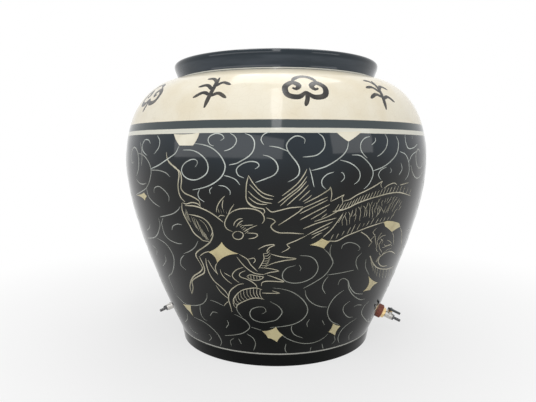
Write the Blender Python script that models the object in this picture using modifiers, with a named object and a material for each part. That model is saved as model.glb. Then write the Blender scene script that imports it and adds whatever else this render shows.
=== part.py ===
"""Large glazed earthenware jar with two lever ball cocks through its lower wall.

Units are metres and +Z is up. The jar stands on z = 0 with its axis on the Z axis, and its front
faces -Y. Each cock is built along the +Z of its own empty, which points squarely out of the wall,
with its stem along that empty's +X. The moving pieces of a cock hang on a second empty at the
centre of the ball, whose Z is the stem and whose X is the way the water leaves.
"""

import math
from dataclasses import dataclass

import bmesh
import bpy
from mathutils import Matrix, Vector

# Jar: the outer outline
BELLY_RADIUS = 0.450
BELLY_HEIGHT = 0.538
FOOT_RADIUS = 0.291
FOOT_BAND_FLARE = 0.006
FOOT_BAND_HEIGHT = 0.0353
FOOT_EDGE = 0.003
SHOULDER_HEIGHT = 0.7756
COLLAR_RISE = 0.049
COLLAR_WALL = 0.0252
LIP_FLARE = 0.0078
LIP_EDGE = 0.009
NECK_HOLLOW = 0.005
WALL_LEAN_DEG = 24.75
SHOULDER_SLOPE_DEG = 9.1
LOWER_CURVE_SHARES = (0.289, 0.275)
UPPER_CURVE_SHARES = (0.493, 0.712)
NECK_CURVE_SHARES = (0.32, 0.30)

# Jar: where its thrown sections are luted together, as shares of the wall's rise from the foot band
WALL_JOINT_SHARES = (0.2225, 0.4925, 0.7358, 0.925)
WALL_SECTIONS = ("jar_lower_wall", "jar_middle_wall", "jar_belly_wall", "jar_upper_wall", "jar_shoulder")

# Jar: the wall, the mouth and the base
WALL = 0.018
MOUTH_RADIUS = 0.2725
FLOOR = 0.022
FLOOR_FILLET = 0.024
FOOT_RING = 0.032
FOOT_RECESS = 0.006

# Jar: where the wall starts and ends, from the sizes above
FOOT_BAND_RADIUS = FOOT_RADIUS + FOOT_BAND_FLARE
SHOULDER_RADIUS = MOUTH_RADIUS + COLLAR_WALL
LIP_RADIUS = SHOULDER_RADIUS + LIP_FLARE
RIM_HEIGHT = SHOULDER_HEIGHT + COLLAR_RISE

# Where the cocks stand: height on the outer wall, and the turn of each towards the front
COCK_HEIGHT = 0.085
RIGHT_COCK_TURN_DEG = 12.0
LEFT_COCK_TURN_DEG = 4.0
RIGHT_STEM_ROLL_DEG = 0.0
LEFT_STEM_ROLL_DEG = 90.0
LEVER_TRAVEL_DEG = 90.0

# Running and assembly clearance between two pieces, and how far a cutter runs past its face
CLEARANCE = 0.0003
OVERRUN = 0.001

# What clamps a cock in the wall
WALL_HOLE = 0.018
BUNG_DIAMETER = 0.042
BUNG_THICKNESS = 0.017
BUNG_EDGE = 0.002
FLANGE_NUT_FLATS = 0.028
FLANGE_NUT_THICKNESS = 0.009
SEAT_WASHER_DIAMETER = 0.026
SEAT_WASHER_THICKNESS = 0.003
INNER_WASHER_DIAMETER = 0.034
INNER_WASHER_THICKNESS = 0.004
WASHER_EDGE = 0.0006
LOCK_NUT_FLATS = 0.024
LOCK_NUT_THICKNESS = 0.007
NUT_CROWN_SHARE = 0.95
NUT_CHAMFER_DEG = 30.0

# Cock body, ball and seats
BODY_DIAMETER = 0.020
BODY_LENGTH = 0.024
BODY_EDGE = 0.001
SHANK_DIAMETER = 0.016
SHANK_LENGTH = 0.057
BORE = 0.006
CHAMBER_DIAMETER = 0.0136
BALL_DIAMETER = 0.012
SEAT_BACK = 0.0074
SEAT_FACE_RADIUS = 0.0054
SEAT_BORE = 0.0064

# Stem and gland, heights from the centre of the ball
SLOT_WIDTH = 0.0020
SLOT_DEPTH = 0.0018
TANG_LENGTH = 0.0048
STEM_DIAMETER = 0.0050
STEM_COLLAR_DIAMETER = 0.0080
STEM_COLLAR_THICKNESS = 0.0010
STEM_SQUARE = 0.0036
STEM_SCREW = 0.0030
STEM_END = 0.0007
BOSS_DIAMETER = 0.0150
BOSS_HEIGHT = 0.0135
GLAND_FLOOR = 0.0087
PACKING_THICKNESS = 0.0017
GLAND_NUT_FLATS = 0.0110
GLAND_NUT_THICKNESS = 0.0025

# Lever, its nut and its stops
LEVER_REACH = 0.030
LEVER_WIDTH = 0.008
LEVER_THICKNESS = 0.006
LEVER_HUB_DIAMETER = 0.014
LEVER_EDGE = 0.0012
LEVER_NUT_FLATS = 0.0055
LEVER_NUT_THICKNESS = 0.0024
STOP_RADIUS = 0.0086
STOP_PIN = 0.0030
STOP_PIN_ROOT = 0.0022
STOP_GAP = 0.0005

# Hose tail
TAIL_LENGTH = 0.0264
TAIL_HEX_FLATS = 0.015
TAIL_HEX_THICKNESS = 0.005
TAIL_ROOT_DIAMETER = 0.0078
BARB_DIAMETER = 0.0092
BARB_COUNT = 3

# Facets
JAR_SEGMENTS = 56
DISC_SEGMENTS = 28
PIPE_SEGMENTS = 18
SMALL_SEGMENTS = 16
HEX_SIDES = 6
LOWER_STEPS = 8
UPPER_STEPS = 8
NECK_STEPS = 4
ROUND_STEPS = 3
INNER_LOWER_STEPS = 5
INNER_UPPER_STEPS = 5
FILLET_STEPS = 3
SEAT_STEPS = 3
LEVER_ARC_STEPS = 6
MERGE = 0.00001

# Colours as (red, green, blue), metallic, roughness
GLAZE = ((0.020, 0.024, 0.026), 0.0, 0.16)
RED_RUBBER = ((0.25, 0.075, 0.045), 0.0, 0.65)
GREY_RUBBER = ((0.30, 0.31, 0.32), 0.0, 0.70)
BRASS = ((0.72, 0.55, 0.30), 1.0, 0.32)
NICKEL = ((0.70, 0.69, 0.66), 1.0, 0.22)
STEEL = ((0.60, 0.61, 0.62), 1.0, 0.30)
SEAL_PLASTIC = ((0.86, 0.85, 0.80), 0.0, 0.45)
LEVER_PLASTIC = ((0.075, 0.082, 0.088), 0.0, 0.45)


@dataclass(frozen=True)
class Cock:
    """One ball cock: its name, where it stands, and what lies between the wall and its body."""

    name: str
    azimuth_deg: float
    roll_deg: float
    has_bung: bool


def clear_scene():
    for obj in list(bpy.data.objects):
        bpy.data.objects.remove(obj, do_unlink=True)


def new_collection(name):
    collection = bpy.data.collections.new(name)
    bpy.context.scene.collection.children.link(collection)
    return collection


def material(name, finish):
    found = bpy.data.materials.get(name)
    if found:
        return found
    colour, metallic, roughness = finish
    made = bpy.data.materials.new(name)
    made.use_nodes = True
    shader = made.node_tree.nodes["Principled BSDF"]
    shader.inputs["Base Color"].default_value = (*colour, 1.0)
    shader.inputs["Metallic"].default_value = metallic
    shader.inputs["Roughness"].default_value = roughness
    made.diffuse_color = (*colour, 1.0)
    return made


def bezier(start, first_handle, second_handle, end, steps):
    """Points of a cubic curve, its start left out so that runs can follow each other."""
    points = []
    for step in range(1, steps + 1):
        t = step / steps
        u = 1 - t
        points.append(
            start * u**3
            + first_handle * (3 * u * u * t)
            + second_handle * (3 * u * t * t)
            + end * t**3
        )
    return points


def quarter_round(start, corner, end, steps):
    """Points of a quarter round from start to end, which touches both legs of the corner."""
    centre = start + end - corner
    points = []
    for step in range(1, steps + 1):
        angle = math.pi / 2 * step / steps
        points.append(centre + (start - centre) * math.cos(angle) + (end - centre) * math.sin(angle))
    return points


def lean_direction():
    lean = math.radians(WALL_LEAN_DEG)
    return Vector((math.sin(lean), math.cos(lean)))


def shoulder_direction():
    """Out and down along the shoulder from its top."""
    slope = math.radians(SHOULDER_SLOPE_DEG)
    return Vector((math.cos(slope), -math.sin(slope)))


def pot_curve(low, belly, high, lower_steps, upper_steps):
    """A run of wall as (radius, height) points, from low over the belly to high."""
    lower_rise = belly.y - low.y
    upper_rise = high.y - belly.y
    reach = belly.x - high.x
    up = Vector((0, 1))
    return [
        low,
        *bezier(
            low,
            low + lean_direction() * (LOWER_CURVE_SHARES[0] * lower_rise),
            belly - up * (LOWER_CURVE_SHARES[1] * lower_rise),
            belly,
            lower_steps,
        ),
        *bezier(
            belly,
            belly + up * (UPPER_CURVE_SHARES[0] * upper_rise),
            high + shoulder_direction() * (UPPER_CURVE_SHARES[1] * reach),
            high,
            upper_steps,
        ),
    ]


def outer_wall():
    """The outer wall from the foot band to the foot of the collar."""
    return pot_curve(
        Vector((FOOT_BAND_RADIUS, FOOT_BAND_HEIGHT)),
        Vector((BELLY_RADIUS, BELLY_HEIGHT)),
        Vector((SHOULDER_RADIUS, SHOULDER_HEIGHT)),
        LOWER_STEPS,
        UPPER_STEPS,
    )


def inner_wall():
    """The inner wall from the floor's fillet to the bottom of the mouth."""
    lean = math.radians(WALL_LEAN_DEG)
    return pot_curve(
        Vector((FOOT_BAND_RADIUS - WALL / math.cos(lean), FOOT_BAND_HEIGHT)),
        Vector((BELLY_RADIUS - WALL, BELLY_HEIGHT)),
        Vector((MOUTH_RADIUS, SHOULDER_HEIGHT - WALL)),
        INNER_LOWER_STEPS,
        INNER_UPPER_STEPS,
    )


def foot_outline():
    """The foot's outside, from its sole up to the foot band."""
    sole = Vector((FOOT_RADIUS - FOOT_EDGE, 0))
    side = Vector((FOOT_RADIUS, FOOT_EDGE))
    return [sole, *quarter_round(sole, Vector((FOOT_RADIUS, 0)), side, ROUND_STEPS)]


def collar_outline():
    """The collar from the shoulder up, over the flat rim and down the mouth."""
    foot = Vector((SHOULDER_RADIUS, SHOULDER_HEIGHT))
    lip = Vector((LIP_RADIUS, RIM_HEIGHT - LIP_EDGE))
    rise = lip.y - foot.y
    neck = bezier(
        foot,
        foot + Vector((-NECK_HOLLOW, NECK_CURVE_SHARES[0] * rise)),
        lip - Vector((0, NECK_CURVE_SHARES[1] * rise)),
        lip,
        NECK_STEPS,
    )
    rim_outside = Vector((LIP_RADIUS - LIP_EDGE, RIM_HEIGHT))
    rim_inside = Vector((MOUTH_RADIUS + LIP_EDGE, RIM_HEIGHT))
    mouth = Vector((MOUTH_RADIUS, RIM_HEIGHT - LIP_EDGE))
    return [
        *neck,
        *quarter_round(lip, Vector((LIP_RADIUS, RIM_HEIGHT)), rim_outside, ROUND_STEPS),
        rim_inside,
        *quarter_round(rim_inside, Vector((MOUTH_RADIUS, RIM_HEIGHT)), mouth, ROUND_STEPS),
    ]


def floor_outline():
    """The inside of the base, from the wall's foot through the fillet to the axis."""
    wall_foot = inner_wall()[0]
    floor_edge = Vector((wall_foot.x - FLOOR_FILLET, FLOOR))
    fall = wall_foot.y - FLOOR
    knee = wall_foot - lean_direction() * fall
    return [
        *bezier(
            wall_foot,
            (wall_foot + knee) / 2,
            (floor_edge + knee) / 2,
            floor_edge,
            FILLET_STEPS,
        ),
        Vector((0, FLOOR)),
    ]


def foot_section():
    """The foot and the floor, from the axis inside, over the joint and down outside to the axis."""
    return [
        *reversed(floor_outline()),
        inner_wall()[0],
        Vector((FOOT_BAND_RADIUS, FOOT_BAND_HEIGHT)),
        *reversed(foot_outline()),
        Vector((FOOT_RADIUS - FOOT_RING, 0)),
        Vector((FOOT_RADIUS - FOOT_RING - FOOT_RECESS, FOOT_RECESS)),
        Vector((0, FOOT_RECESS)),
    ]


def wall_section(low, high):
    """A ring of wall between two heights, up its inside and down its outside."""
    return [*between(inner_wall(), low, high), *reversed(between(outer_wall(), low, high))]


def shoulder_section(low):
    """The top ring of wall, up its inside, up the round seat of the collar and down its outside."""
    seat = SHOULDER_RADIUS + CLEARANCE
    inside = between(inner_wall(), low, height_at(inner_wall(), seat))
    outside = between(outer_wall(), low, height_at(outer_wall(), seat))
    return [*inside, *reversed(outside)]


def collar_section():
    """The collar in its seat, along its underside, up its mouth, over the rim and down its outside."""
    inside = inner_wall()
    underside = between(inside, height_at(inside, SHOULDER_RADIUS), inside[-1].y)
    return [*underside, *reversed(collar_outline())]


def wall_joints():
    """The heights at which the sections of the wall start."""
    rise = SHOULDER_HEIGHT - FOOT_BAND_HEIGHT
    inner = [FOOT_BAND_HEIGHT + share * rise for share in WALL_JOINT_SHARES]
    return [FOOT_BAND_HEIGHT, *inner]


def between(outline, low, high):
    """The run of a rising outline between two heights, cut level at both."""
    inner = [point for point in outline if low + MERGE < point.y < high - MERGE]
    return [Vector((radius_at(outline, low), low)), *inner, Vector((radius_at(outline, high), high))]


def radius_at(wall, height):
    """Radius of a wall, given as points that rise, at a height."""
    for low, high in zip(wall, wall[1:]):
        if low.y <= height <= high.y:
            return low.x + (high.x - low.x) * (height - low.y) / (high.y - low.y)
    raise ValueError("height is off the wall")


def height_at(wall, radius):
    """Height at which the upper half of a wall, given as points that rise, has a radius."""
    for low, high in zip(reversed(wall[:-1]), reversed(wall[1:])):
        if high.x <= radius <= low.x:
            return low.y + (high.y - low.y) * (low.x - radius) / (low.x - high.x)
    raise ValueError("radius is off the wall")


def lean_at(wall, height):
    """How far the wall leans out at a height, in radians."""
    for low, high in zip(wall, wall[1:]):
        if low.y <= height <= high.y:
            return math.atan2(high.x - low.x, high.y - low.y)
    raise ValueError("height is off the wall")


def wall_depth():
    """Length of a cock's axis inside the wall."""
    lean = lean_at(outer_wall(), COCK_HEIGHT)
    radius = radius_at(outer_wall(), COCK_HEIGHT)
    inner = inner_wall()
    low, high = 0.0, WALL * 2
    while high - low > MERGE:
        middle = (low + high) / 2
        height = COCK_HEIGHT + middle * math.sin(lean)
        if radius - middle * math.cos(lean) > radius_at(inner, height):
            low = middle
        else:
            high = middle
    return high


def grown(outline, distance):
    """The outline moved outwards by a distance, square to itself."""
    moved = []
    last = len(outline) - 1
    for index, point in enumerate(outline):
        before = outline[max(index - 1, 0)]
        after = outline[min(index + 1, last)]
        along = (after - before).normalized()
        moved.append(point + Vector((along.y, -along.x)) * distance)
    return moved


def add_object(name, mesh, collection, parent=None, location=(0, 0, 0)):
    obj = bpy.data.objects.new(name, mesh)
    collection.objects.link(obj)
    obj.parent = parent
    obj.location = location
    return obj


def as_helper(obj):
    obj.hide_render = True
    obj.display_type = "WIRE"
    return obj


def turned(name, outline, collection, segments, closed=False, parent=None, location=(0, 0, 0)):
    """A solid of revolution: the outline runs down its outer side and closes on the axis."""
    mesh = bpy.data.meshes.new(name)
    count = len(outline)
    edges = [(index, index + 1) for index in range(count - 1)]
    if closed:
        edges.append((count - 1, 0))
    mesh.from_pydata([(point[0], 0, point[1]) for point in outline], edges, [])
    obj = add_object(name, mesh, collection, parent, location)
    screw = obj.modifiers.new("Turn", "SCREW")
    screw.steps = segments
    screw.render_steps = segments
    screw.use_merge_vertices = True
    screw.merge_threshold = MERGE
    screw.use_smooth_shade = True
    return obj


def finish(obj, name, look, sharp_deg=35.0):
    obj.data.materials.append(material(name, look))
    obj.data.shade_smooth()
    if obj.data.polygons:
        obj.data.set_sharp_from_angle(angle=math.radians(sharp_deg))
    return obj


def prism(name, sides, flats, low, high, collection, parent=None, location=(0, 0, 0)):
    """A prism along Z whose opposite flats are the given distance apart."""
    mesh = bpy.data.meshes.new(name)
    shape = bmesh.new()
    bmesh.ops.create_cone(
        shape,
        cap_ends=True,
        segments=sides,
        radius1=flats / 2 / math.cos(math.pi / sides),
        radius2=flats / 2 / math.cos(math.pi / sides),
        depth=high - low,
        matrix=Matrix.Translation((0, 0, (low + high) / 2)),
    )
    shape.to_mesh(mesh)
    shape.free()
    return add_object(name, mesh, collection, parent, location)


def rod(name, diameter, low, high, collection, segments, parent=None, location=(0, 0, 0)):
    """A plain round bar along Z."""
    radius = diameter / 2
    outline = [(0, high), (radius, high), (radius, low), (0, low)]
    return turned(name, outline, collection, segments, False, parent, location)


def block(name, size, centre, collection, parent=None):
    mesh = bpy.data.meshes.new(name)
    shape = bmesh.new()
    bmesh.ops.create_cube(shape, size=1)
    bmesh.ops.transform(
        shape, matrix=Matrix.Translation(centre) @ Matrix.Diagonal((*size, 1)), verts=shape.verts
    )
    shape.to_mesh(mesh)
    shape.free()
    return add_object(name, mesh, collection, parent)


def combine(obj, operation, other):
    boolean = obj.modifiers.new(other.name, "BOOLEAN")
    boolean.operation = operation
    boolean.solver = "EXACT"
    boolean.object = as_helper(other)
    return obj


def ring_outline(bore, diameter, low, high, edge):
    """Section of a ring: down its outside, in, and up its bore, with its outer edges eased."""
    radius = diameter / 2
    hole = bore / 2
    return [
        (radius - edge, high),
        (radius, high - edge),
        (radius, low + edge),
        (radius - edge, low),
        (hole, low),
        (hole, high),
    ]


def add_empty(name, matrix, collection, parent=None):
    empty = bpy.data.objects.new(name, None)
    collection.objects.link(empty)
    empty.parent = parent
    empty.matrix_local = matrix
    return empty


def nut(name, look_name, look, flats, thickness, bore, base, collection, cutters, parent):
    """A hexagon nut with turned-down corners, its bore along Z, standing on the height base."""
    obj = prism(name, HEX_SIDES, flats, base, base + thickness, collection, parent)
    top = base + thickness
    corner = flats / 2 / math.cos(math.pi / HEX_SIDES)
    crown = flats / 2 * NUT_CROWN_SHARE
    drop = (corner - crown) * math.tan(math.radians(NUT_CHAMFER_DEG))
    cone = [
        (0, top + OVERRUN),
        (crown, top + OVERRUN),
        (crown, top),
        (corner, top - drop),
        (corner + OVERRUN, top - drop),
        (corner + OVERRUN, base - OVERRUN),
        (0, base - OVERRUN),
    ]
    combine(obj, "INTERSECT", turned(f"{name}_crown", cone, cutters, PIPE_SEGMENTS, False, parent))
    hole = rod(f"{name}_hole", bore, base - OVERRUN, top + OVERRUN, cutters, PIPE_SEGMENTS, parent)
    combine(obj, "DIFFERENCE", hole)
    return finish(obj, look_name, look)


def cock_matrix(cock):
    """Frame of a cock: Z squarely out of the wall, X up the wall, then rolled about Z."""
    lean = lean_at(outer_wall(), COCK_HEIGHT)
    radius = radius_at(outer_wall(), COCK_HEIGHT)
    around = Matrix.Rotation(math.radians(cock.azimuth_deg), 4, "Z")
    place = Matrix.Translation((radius, 0, COCK_HEIGHT))
    tip = Matrix.Rotation(math.pi / 2 + lean, 4, "Y")
    up_the_wall = Matrix.Rotation(math.pi + math.radians(cock.roll_deg), 4, "Z")
    return around @ place @ tip @ up_the_wall


def valve_matrix(height):
    """Frame of the moving pieces: Z along the stem, X the way the water leaves."""
    turn = Matrix(((0, 0, 1, 0), (0, -1, 0, 0), (1, 0, 0, 0), (0, 0, 0, 1)))
    return Matrix.Translation((0, 0, height)) @ turn


def outer_seal(cock, frame, envelope, parts, cutters):
    """The rubber between the wall and the cock: a thick bung, or a thin washer. Returns its height."""
    if cock.has_bung:
        name, look_name, look = f"{cock.name}_bung", "red rubber", RED_RUBBER
        diameter, thickness, edge = BUNG_DIAMETER, BUNG_THICKNESS, BUNG_EDGE
    else:
        name, look_name, look = f"{cock.name}_seat_washer", "grey rubber", GREY_RUBBER
        diameter, thickness, edge = SEAT_WASHER_DIAMETER, SEAT_WASHER_THICKNESS, WASHER_EDGE
    bore = SHANK_DIAMETER + 2 * CLEARANCE
    outline = ring_outline(bore, diameter, -WALL / 2, thickness, edge)
    obj = turned(name, outline, parts, DISC_SEGMENTS, True, frame)
    combine(obj, "DIFFERENCE", envelope)
    finish(obj, look_name, look)
    return thickness


def cock_body(cock, frame, bonnet, shoulder, parts, cutters):
    """The cast body: a threaded shank, a round barrel, the stem's boss and its two stop pins."""
    radius = BODY_DIAMETER / 2
    shank = SHANK_DIAMETER / 2
    outline = [
        (0, BODY_LENGTH),
        (radius - BODY_EDGE, BODY_LENGTH),
        (radius, BODY_LENGTH - BODY_EDGE),
        (radius, BODY_EDGE),
        (radius - BODY_EDGE, 0),
        (shank, 0),
        (shank, BODY_EDGE - SHANK_LENGTH),
        (shank - BODY_EDGE, -SHANK_LENGTH),
        (0, -SHANK_LENGTH),
    ]
    place = (0, 0, shoulder)
    body = turned(f"{cock.name}_body", outline, parts, PIPE_SEGMENTS, False, frame, place)
    boss = rod(f"{cock.name}_boss", BOSS_DIAMETER, 0, BOSS_HEIGHT, cutters, PIPE_SEGMENTS, bonnet)
    combine(body, "UNION", boss)
    pin_top = lever_base() - 2 * CLEARANCE
    for index, angle in enumerate(stop_angles()):
        spot = (STOP_RADIUS * math.cos(angle), STOP_RADIUS * math.sin(angle), 0)
        name = f"{cock.name}_stop_{index}"
        pin = rod(name, STOP_PIN, STOP_PIN_ROOT, pin_top, cutters, SMALL_SEGMENTS, bonnet, spot)
        combine(body, "UNION", pin)
    chamber = CHAMBER_DIAMETER / 2
    bore = BORE / 2
    back = BODY_LENGTH / 2 - SEAT_BACK - CLEARANCE
    waterway = [
        (0, BODY_LENGTH + OVERRUN),
        (chamber, BODY_LENGTH + OVERRUN),
        (chamber, back),
        (bore, back),
        (bore, -SHANK_LENGTH - OVERRUN),
        (0, -SHANK_LENGTH - OVERRUN),
    ]
    cutter = turned(f"{cock.name}_waterway", waterway, cutters, PIPE_SEGMENTS, False, frame, place)
    combine(body, "DIFFERENCE", cutter)
    gland = STEM_COLLAR_DIAMETER / 2 + CLEARANCE
    hole = STEM_DIAMETER / 2 + CLEARANCE
    gland_hole = [
        (0, BOSS_HEIGHT + OVERRUN),
        (gland, BOSS_HEIGHT + OVERRUN),
        (gland, GLAND_FLOOR),
        (hole, GLAND_FLOOR),
        (hole, 0),
        (0, 0),
    ]
    cutter = turned(f"{cock.name}_gland", gland_hole, cutters, SMALL_SEGMENTS, False, bonnet)
    combine(body, "DIFFERENCE", cutter)
    return finish(body, "nickel", NICKEL)


def stop_angles():
    """Angles of the two stop pins about the stem, just past the ends of the lug's travel."""
    pin_and_lug = 2 * math.asin(STOP_PIN / 2 / STOP_RADIUS) + STOP_GAP / STOP_RADIUS
    return math.pi + pin_and_lug, math.pi - math.radians(LEVER_TRAVEL_DEG) - pin_and_lug


def gland_nut_base():
    return BOSS_HEIGHT + CLEARANCE


def lever_base():
    return gland_nut_base() + GLAND_NUT_THICKNESS + CLEARANCE


def hose_tail(cock, frame, face, parts, cutters):
    """The screwed-in end: it holds the outer seat, and its barbs take a hose."""
    insert = CHAMBER_DIAMETER / 2 - CLEARANCE
    depth = BODY_LENGTH / 2 - SEAT_BACK - CLEARANCE
    root = TAIL_ROOT_DIAMETER / 2
    barb = BARB_DIAMETER / 2
    hex_top = CLEARANCE + TAIL_HEX_THICKNESS
    pitch = (TAIL_LENGTH - hex_top) / (BARB_COUNT + 1)
    outline = [(0, TAIL_LENGTH)]
    for index in range(BARB_COUNT):
        top = TAIL_LENGTH - index * pitch
        outline += [(root, top), (barb, top - pitch * 3 / 4), (root, top - pitch)]
    outline += [(root, hex_top - TAIL_HEX_THICKNESS / 2), (insert, hex_top - TAIL_HEX_THICKNESS / 2)]
    outline += [(insert, -depth), (0, -depth)]
    place = (0, 0, face)
    tail = turned(f"{cock.name}_hose_tail", outline, parts, PIPE_SEGMENTS, False, frame, place)
    collar = prism(
        f"{cock.name}_tail_hex", HEX_SIDES, TAIL_HEX_FLATS, CLEARANCE, hex_top, cutters, frame, place
    )
    combine(tail, "UNION", collar)
    ends = (-depth - OVERRUN, TAIL_LENGTH + OVERRUN)
    hole = rod(f"{cock.name}_tail_bore", BORE, *ends, cutters, PIPE_SEGMENTS, frame, place)
    combine(tail, "DIFFERENCE", hole)
    return finish(tail, "nickel", NICKEL)


def seat(cock, which, frame, ball_height, side, parts):
    """A seat ring, hollowed to the ball. Its section is measured from the centre of the ball."""
    outside = CHAMBER_DIAMETER / 2 - CLEARANCE
    bore = SEAT_BORE / 2
    sphere = BALL_DIAMETER / 2 + CLEARANCE
    outline = [(outside, SEAT_BACK), (outside, math.sqrt(sphere**2 - SEAT_FACE_RADIUS**2))]
    for step in range(SEAT_STEPS + 1):
        radius = SEAT_FACE_RADIUS + (bore - SEAT_FACE_RADIUS) * step / SEAT_STEPS
        outline.append((radius, math.sqrt(sphere**2 - radius**2)))
    outline.append((bore, SEAT_BACK))
    name = f"{cock.name}_{which}_seat"
    obj = turned(name, outline, parts, PIPE_SEGMENTS, True, frame, (0, 0, ball_height))
    if side < 0:
        obj.rotation_euler = (math.pi, 0, 0)
    return finish(obj, "seal plastic", SEAL_PLASTIC)


def ball(cock, valve, parts, cutters):
    """The bored ball, with the stem's slot across its bore."""
    name = f"{cock.name}_ball"
    mesh = bpy.data.meshes.new(name)
    shape = bmesh.new()
    radius = BALL_DIAMETER / 2
    rings = PIPE_SEGMENTS // 2
    bmesh.ops.create_uvsphere(shape, u_segments=PIPE_SEGMENTS, v_segments=rings, radius=radius)
    shape.to_mesh(mesh)
    shape.free()
    obj = add_object(name, mesh, parts, valve)
    bore = rod(f"{name}_bore", BORE, -BALL_DIAMETER, BALL_DIAMETER, cutters, SMALL_SEGMENTS, valve)
    bore.rotation_euler = (0, math.pi / 2, 0)
    combine(obj, "DIFFERENCE", bore)
    slot_size = (SLOT_WIDTH, BALL_DIAMETER + OVERRUN, SLOT_DEPTH + OVERRUN)
    slot_centre = (0, 0, radius - SLOT_DEPTH + (SLOT_DEPTH + OVERRUN) / 2)
    combine(obj, "DIFFERENCE", block(f"{name}_slot", slot_size, slot_centre, cutters, valve))
    return finish(obj, "nickel", NICKEL)


def stem(cock, valve, parts, cutters):
    """The stem: a tang in the ball's slot, a captive collar, a square for the lever and a screwed end."""
    shaft = STEM_DIAMETER / 2
    collar = STEM_COLLAR_DIAMETER / 2
    screw = STEM_SCREW / 2
    foot = BALL_DIAMETER / 2 + CLEARANCE
    collar_base = GLAND_FLOOR + CLEARANCE
    collar_top = collar_base + STEM_COLLAR_THICKNESS
    square_base = lever_base() - CLEARANCE
    square_top = lever_base() + LEVER_THICKNESS - CLEARANCE
    top = lever_base() + LEVER_THICKNESS + CLEARANCE + LEVER_NUT_THICKNESS + STEM_END
    outline = [
        (0, top),
        (screw, top),
        (screw, square_base),
        (shaft, square_base),
        (shaft, collar_top),
        (collar, collar_top),
        (collar, collar_base),
        (shaft, collar_base),
        (shaft, foot),
        (0, foot),
    ]
    obj = turned(f"{cock.name}_stem", outline, parts, SMALL_SEGMENTS, False, valve)
    slot_floor = BALL_DIAMETER / 2 - SLOT_DEPTH
    tang_base = slot_floor + CLEARANCE
    tang_top = (foot + collar_base) / 2
    tang_size = (SLOT_WIDTH - 2 * CLEARANCE, TANG_LENGTH, tang_top - tang_base)
    tang = block(f"{cock.name}_tang", tang_size, (0, 0, (tang_base + tang_top) / 2), cutters, valve)
    combine(obj, "UNION", tang)
    low = square_base - CLEARANCE
    square_size = (STEM_SQUARE, STEM_SQUARE, square_top - low)
    square = block(f"{cock.name}_square", square_size, (0, 0, (low + square_top) / 2), cutters, valve)
    combine(obj, "UNION", square)
    return finish(obj, "steel", STEEL)


def packing(cock, bonnet, parts):
    """The gland packing, on top of the stem's collar."""
    base = GLAND_FLOOR + STEM_COLLAR_THICKNESS + 2 * CLEARANCE
    bore = STEM_DIAMETER + 2 * CLEARANCE
    outline = ring_outline(bore, STEM_COLLAR_DIAMETER, base, base + PACKING_THICKNESS, CLEARANCE)
    obj = turned(f"{cock.name}_packing", outline, parts, SMALL_SEGMENTS, True, bonnet)
    return finish(obj, "seal plastic", SEAL_PLASTIC)


def gland_nut(cock, bonnet, parts, cutters):
    """The gland nut: a hexagon with a spigot that presses on the packing."""
    base = GLAND_FLOOR + STEM_COLLAR_THICKNESS + PACKING_THICKNESS + 3 * CLEARANCE
    head = gland_nut_base()
    top = head + GLAND_NUT_THICKNESS
    name = f"{cock.name}_gland_nut"
    obj = prism(name, HEX_SIDES, GLAND_NUT_FLATS, head, top, parts, bonnet)
    spigot_top = (head + top) / 2
    spigot = rod(f"{name}_spigot", STEM_COLLAR_DIAMETER, base, spigot_top, cutters, SMALL_SEGMENTS, bonnet)
    combine(obj, "UNION", spigot)
    bore = STEM_DIAMETER + 2 * CLEARANCE
    ends = (base - OVERRUN, top + OVERRUN)
    combine(obj, "DIFFERENCE", rod(f"{name}_hole", bore, *ends, cutters, SMALL_SEGMENTS, bonnet))
    return finish(obj, "brass", BRASS)


def arc(centre, radius, start_deg, end_deg):
    points = []
    for step in range(LEVER_ARC_STEPS + 1):
        angle = math.radians(start_deg + (end_deg - start_deg) * step / LEVER_ARC_STEPS)
        points.append((centre[0] + radius * math.cos(angle), centre[1] + radius * math.sin(angle)))
    return points


def lever_outline():
    """The lever from above: a round hub, a round-ended arm over the outlet and a short heel."""
    tip = LEVER_WIDTH / 2
    hub = LEVER_HUB_DIAMETER / 2
    heel = STOP_RADIUS + STOP_PIN / 2
    half_heel = STOP_PIN
    arm_angle = math.degrees(math.asin(tip / hub))
    heel_angle = math.degrees(math.asin(half_heel / hub))
    return [
        *arc((LEVER_REACH - tip, 0), tip, -90, 90),
        *arc((0, 0), hub, arm_angle, 180 - heel_angle),
        (-heel, half_heel),
        (-heel, -half_heel),
        *arc((0, 0), hub, 180 + heel_angle, 360 - arm_angle),
    ]


def extruded(name, outline, thickness, collection, parent, height):
    """A flat outline, drawn as a filled curve and thickened, as a mesh whose lower face is at height."""
    curve = bpy.data.curves.new(name, "CURVE")
    curve.dimensions = "2D"
    curve.fill_mode = "BOTH"
    curve.extrude = thickness / 2
    spline = curve.splines.new("POLY")
    spline.points.add(len(outline) - 1)
    for point, (x, y) in zip(spline.points, outline):
        point.co = (x, y, 0, 1)
    spline.use_cyclic_u = True
    guide = bpy.data.objects.new(f"{name}_outline", curve)
    collection.objects.link(guide)
    graph = bpy.context.evaluated_depsgraph_get()
    mesh = bpy.data.meshes.new_from_object(guide.evaluated_get(graph))
    mesh.name = name
    shape = bmesh.new()
    shape.from_mesh(mesh)
    bmesh.ops.remove_doubles(shape, verts=shape.verts, dist=MERGE)
    bmesh.ops.recalc_face_normals(shape, faces=shape.faces)
    shape.to_mesh(mesh)
    shape.free()
    bpy.data.objects.remove(guide, do_unlink=True)
    bpy.data.curves.remove(curve)
    return add_object(name, mesh, collection, parent, (0, 0, height + thickness / 2))


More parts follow.
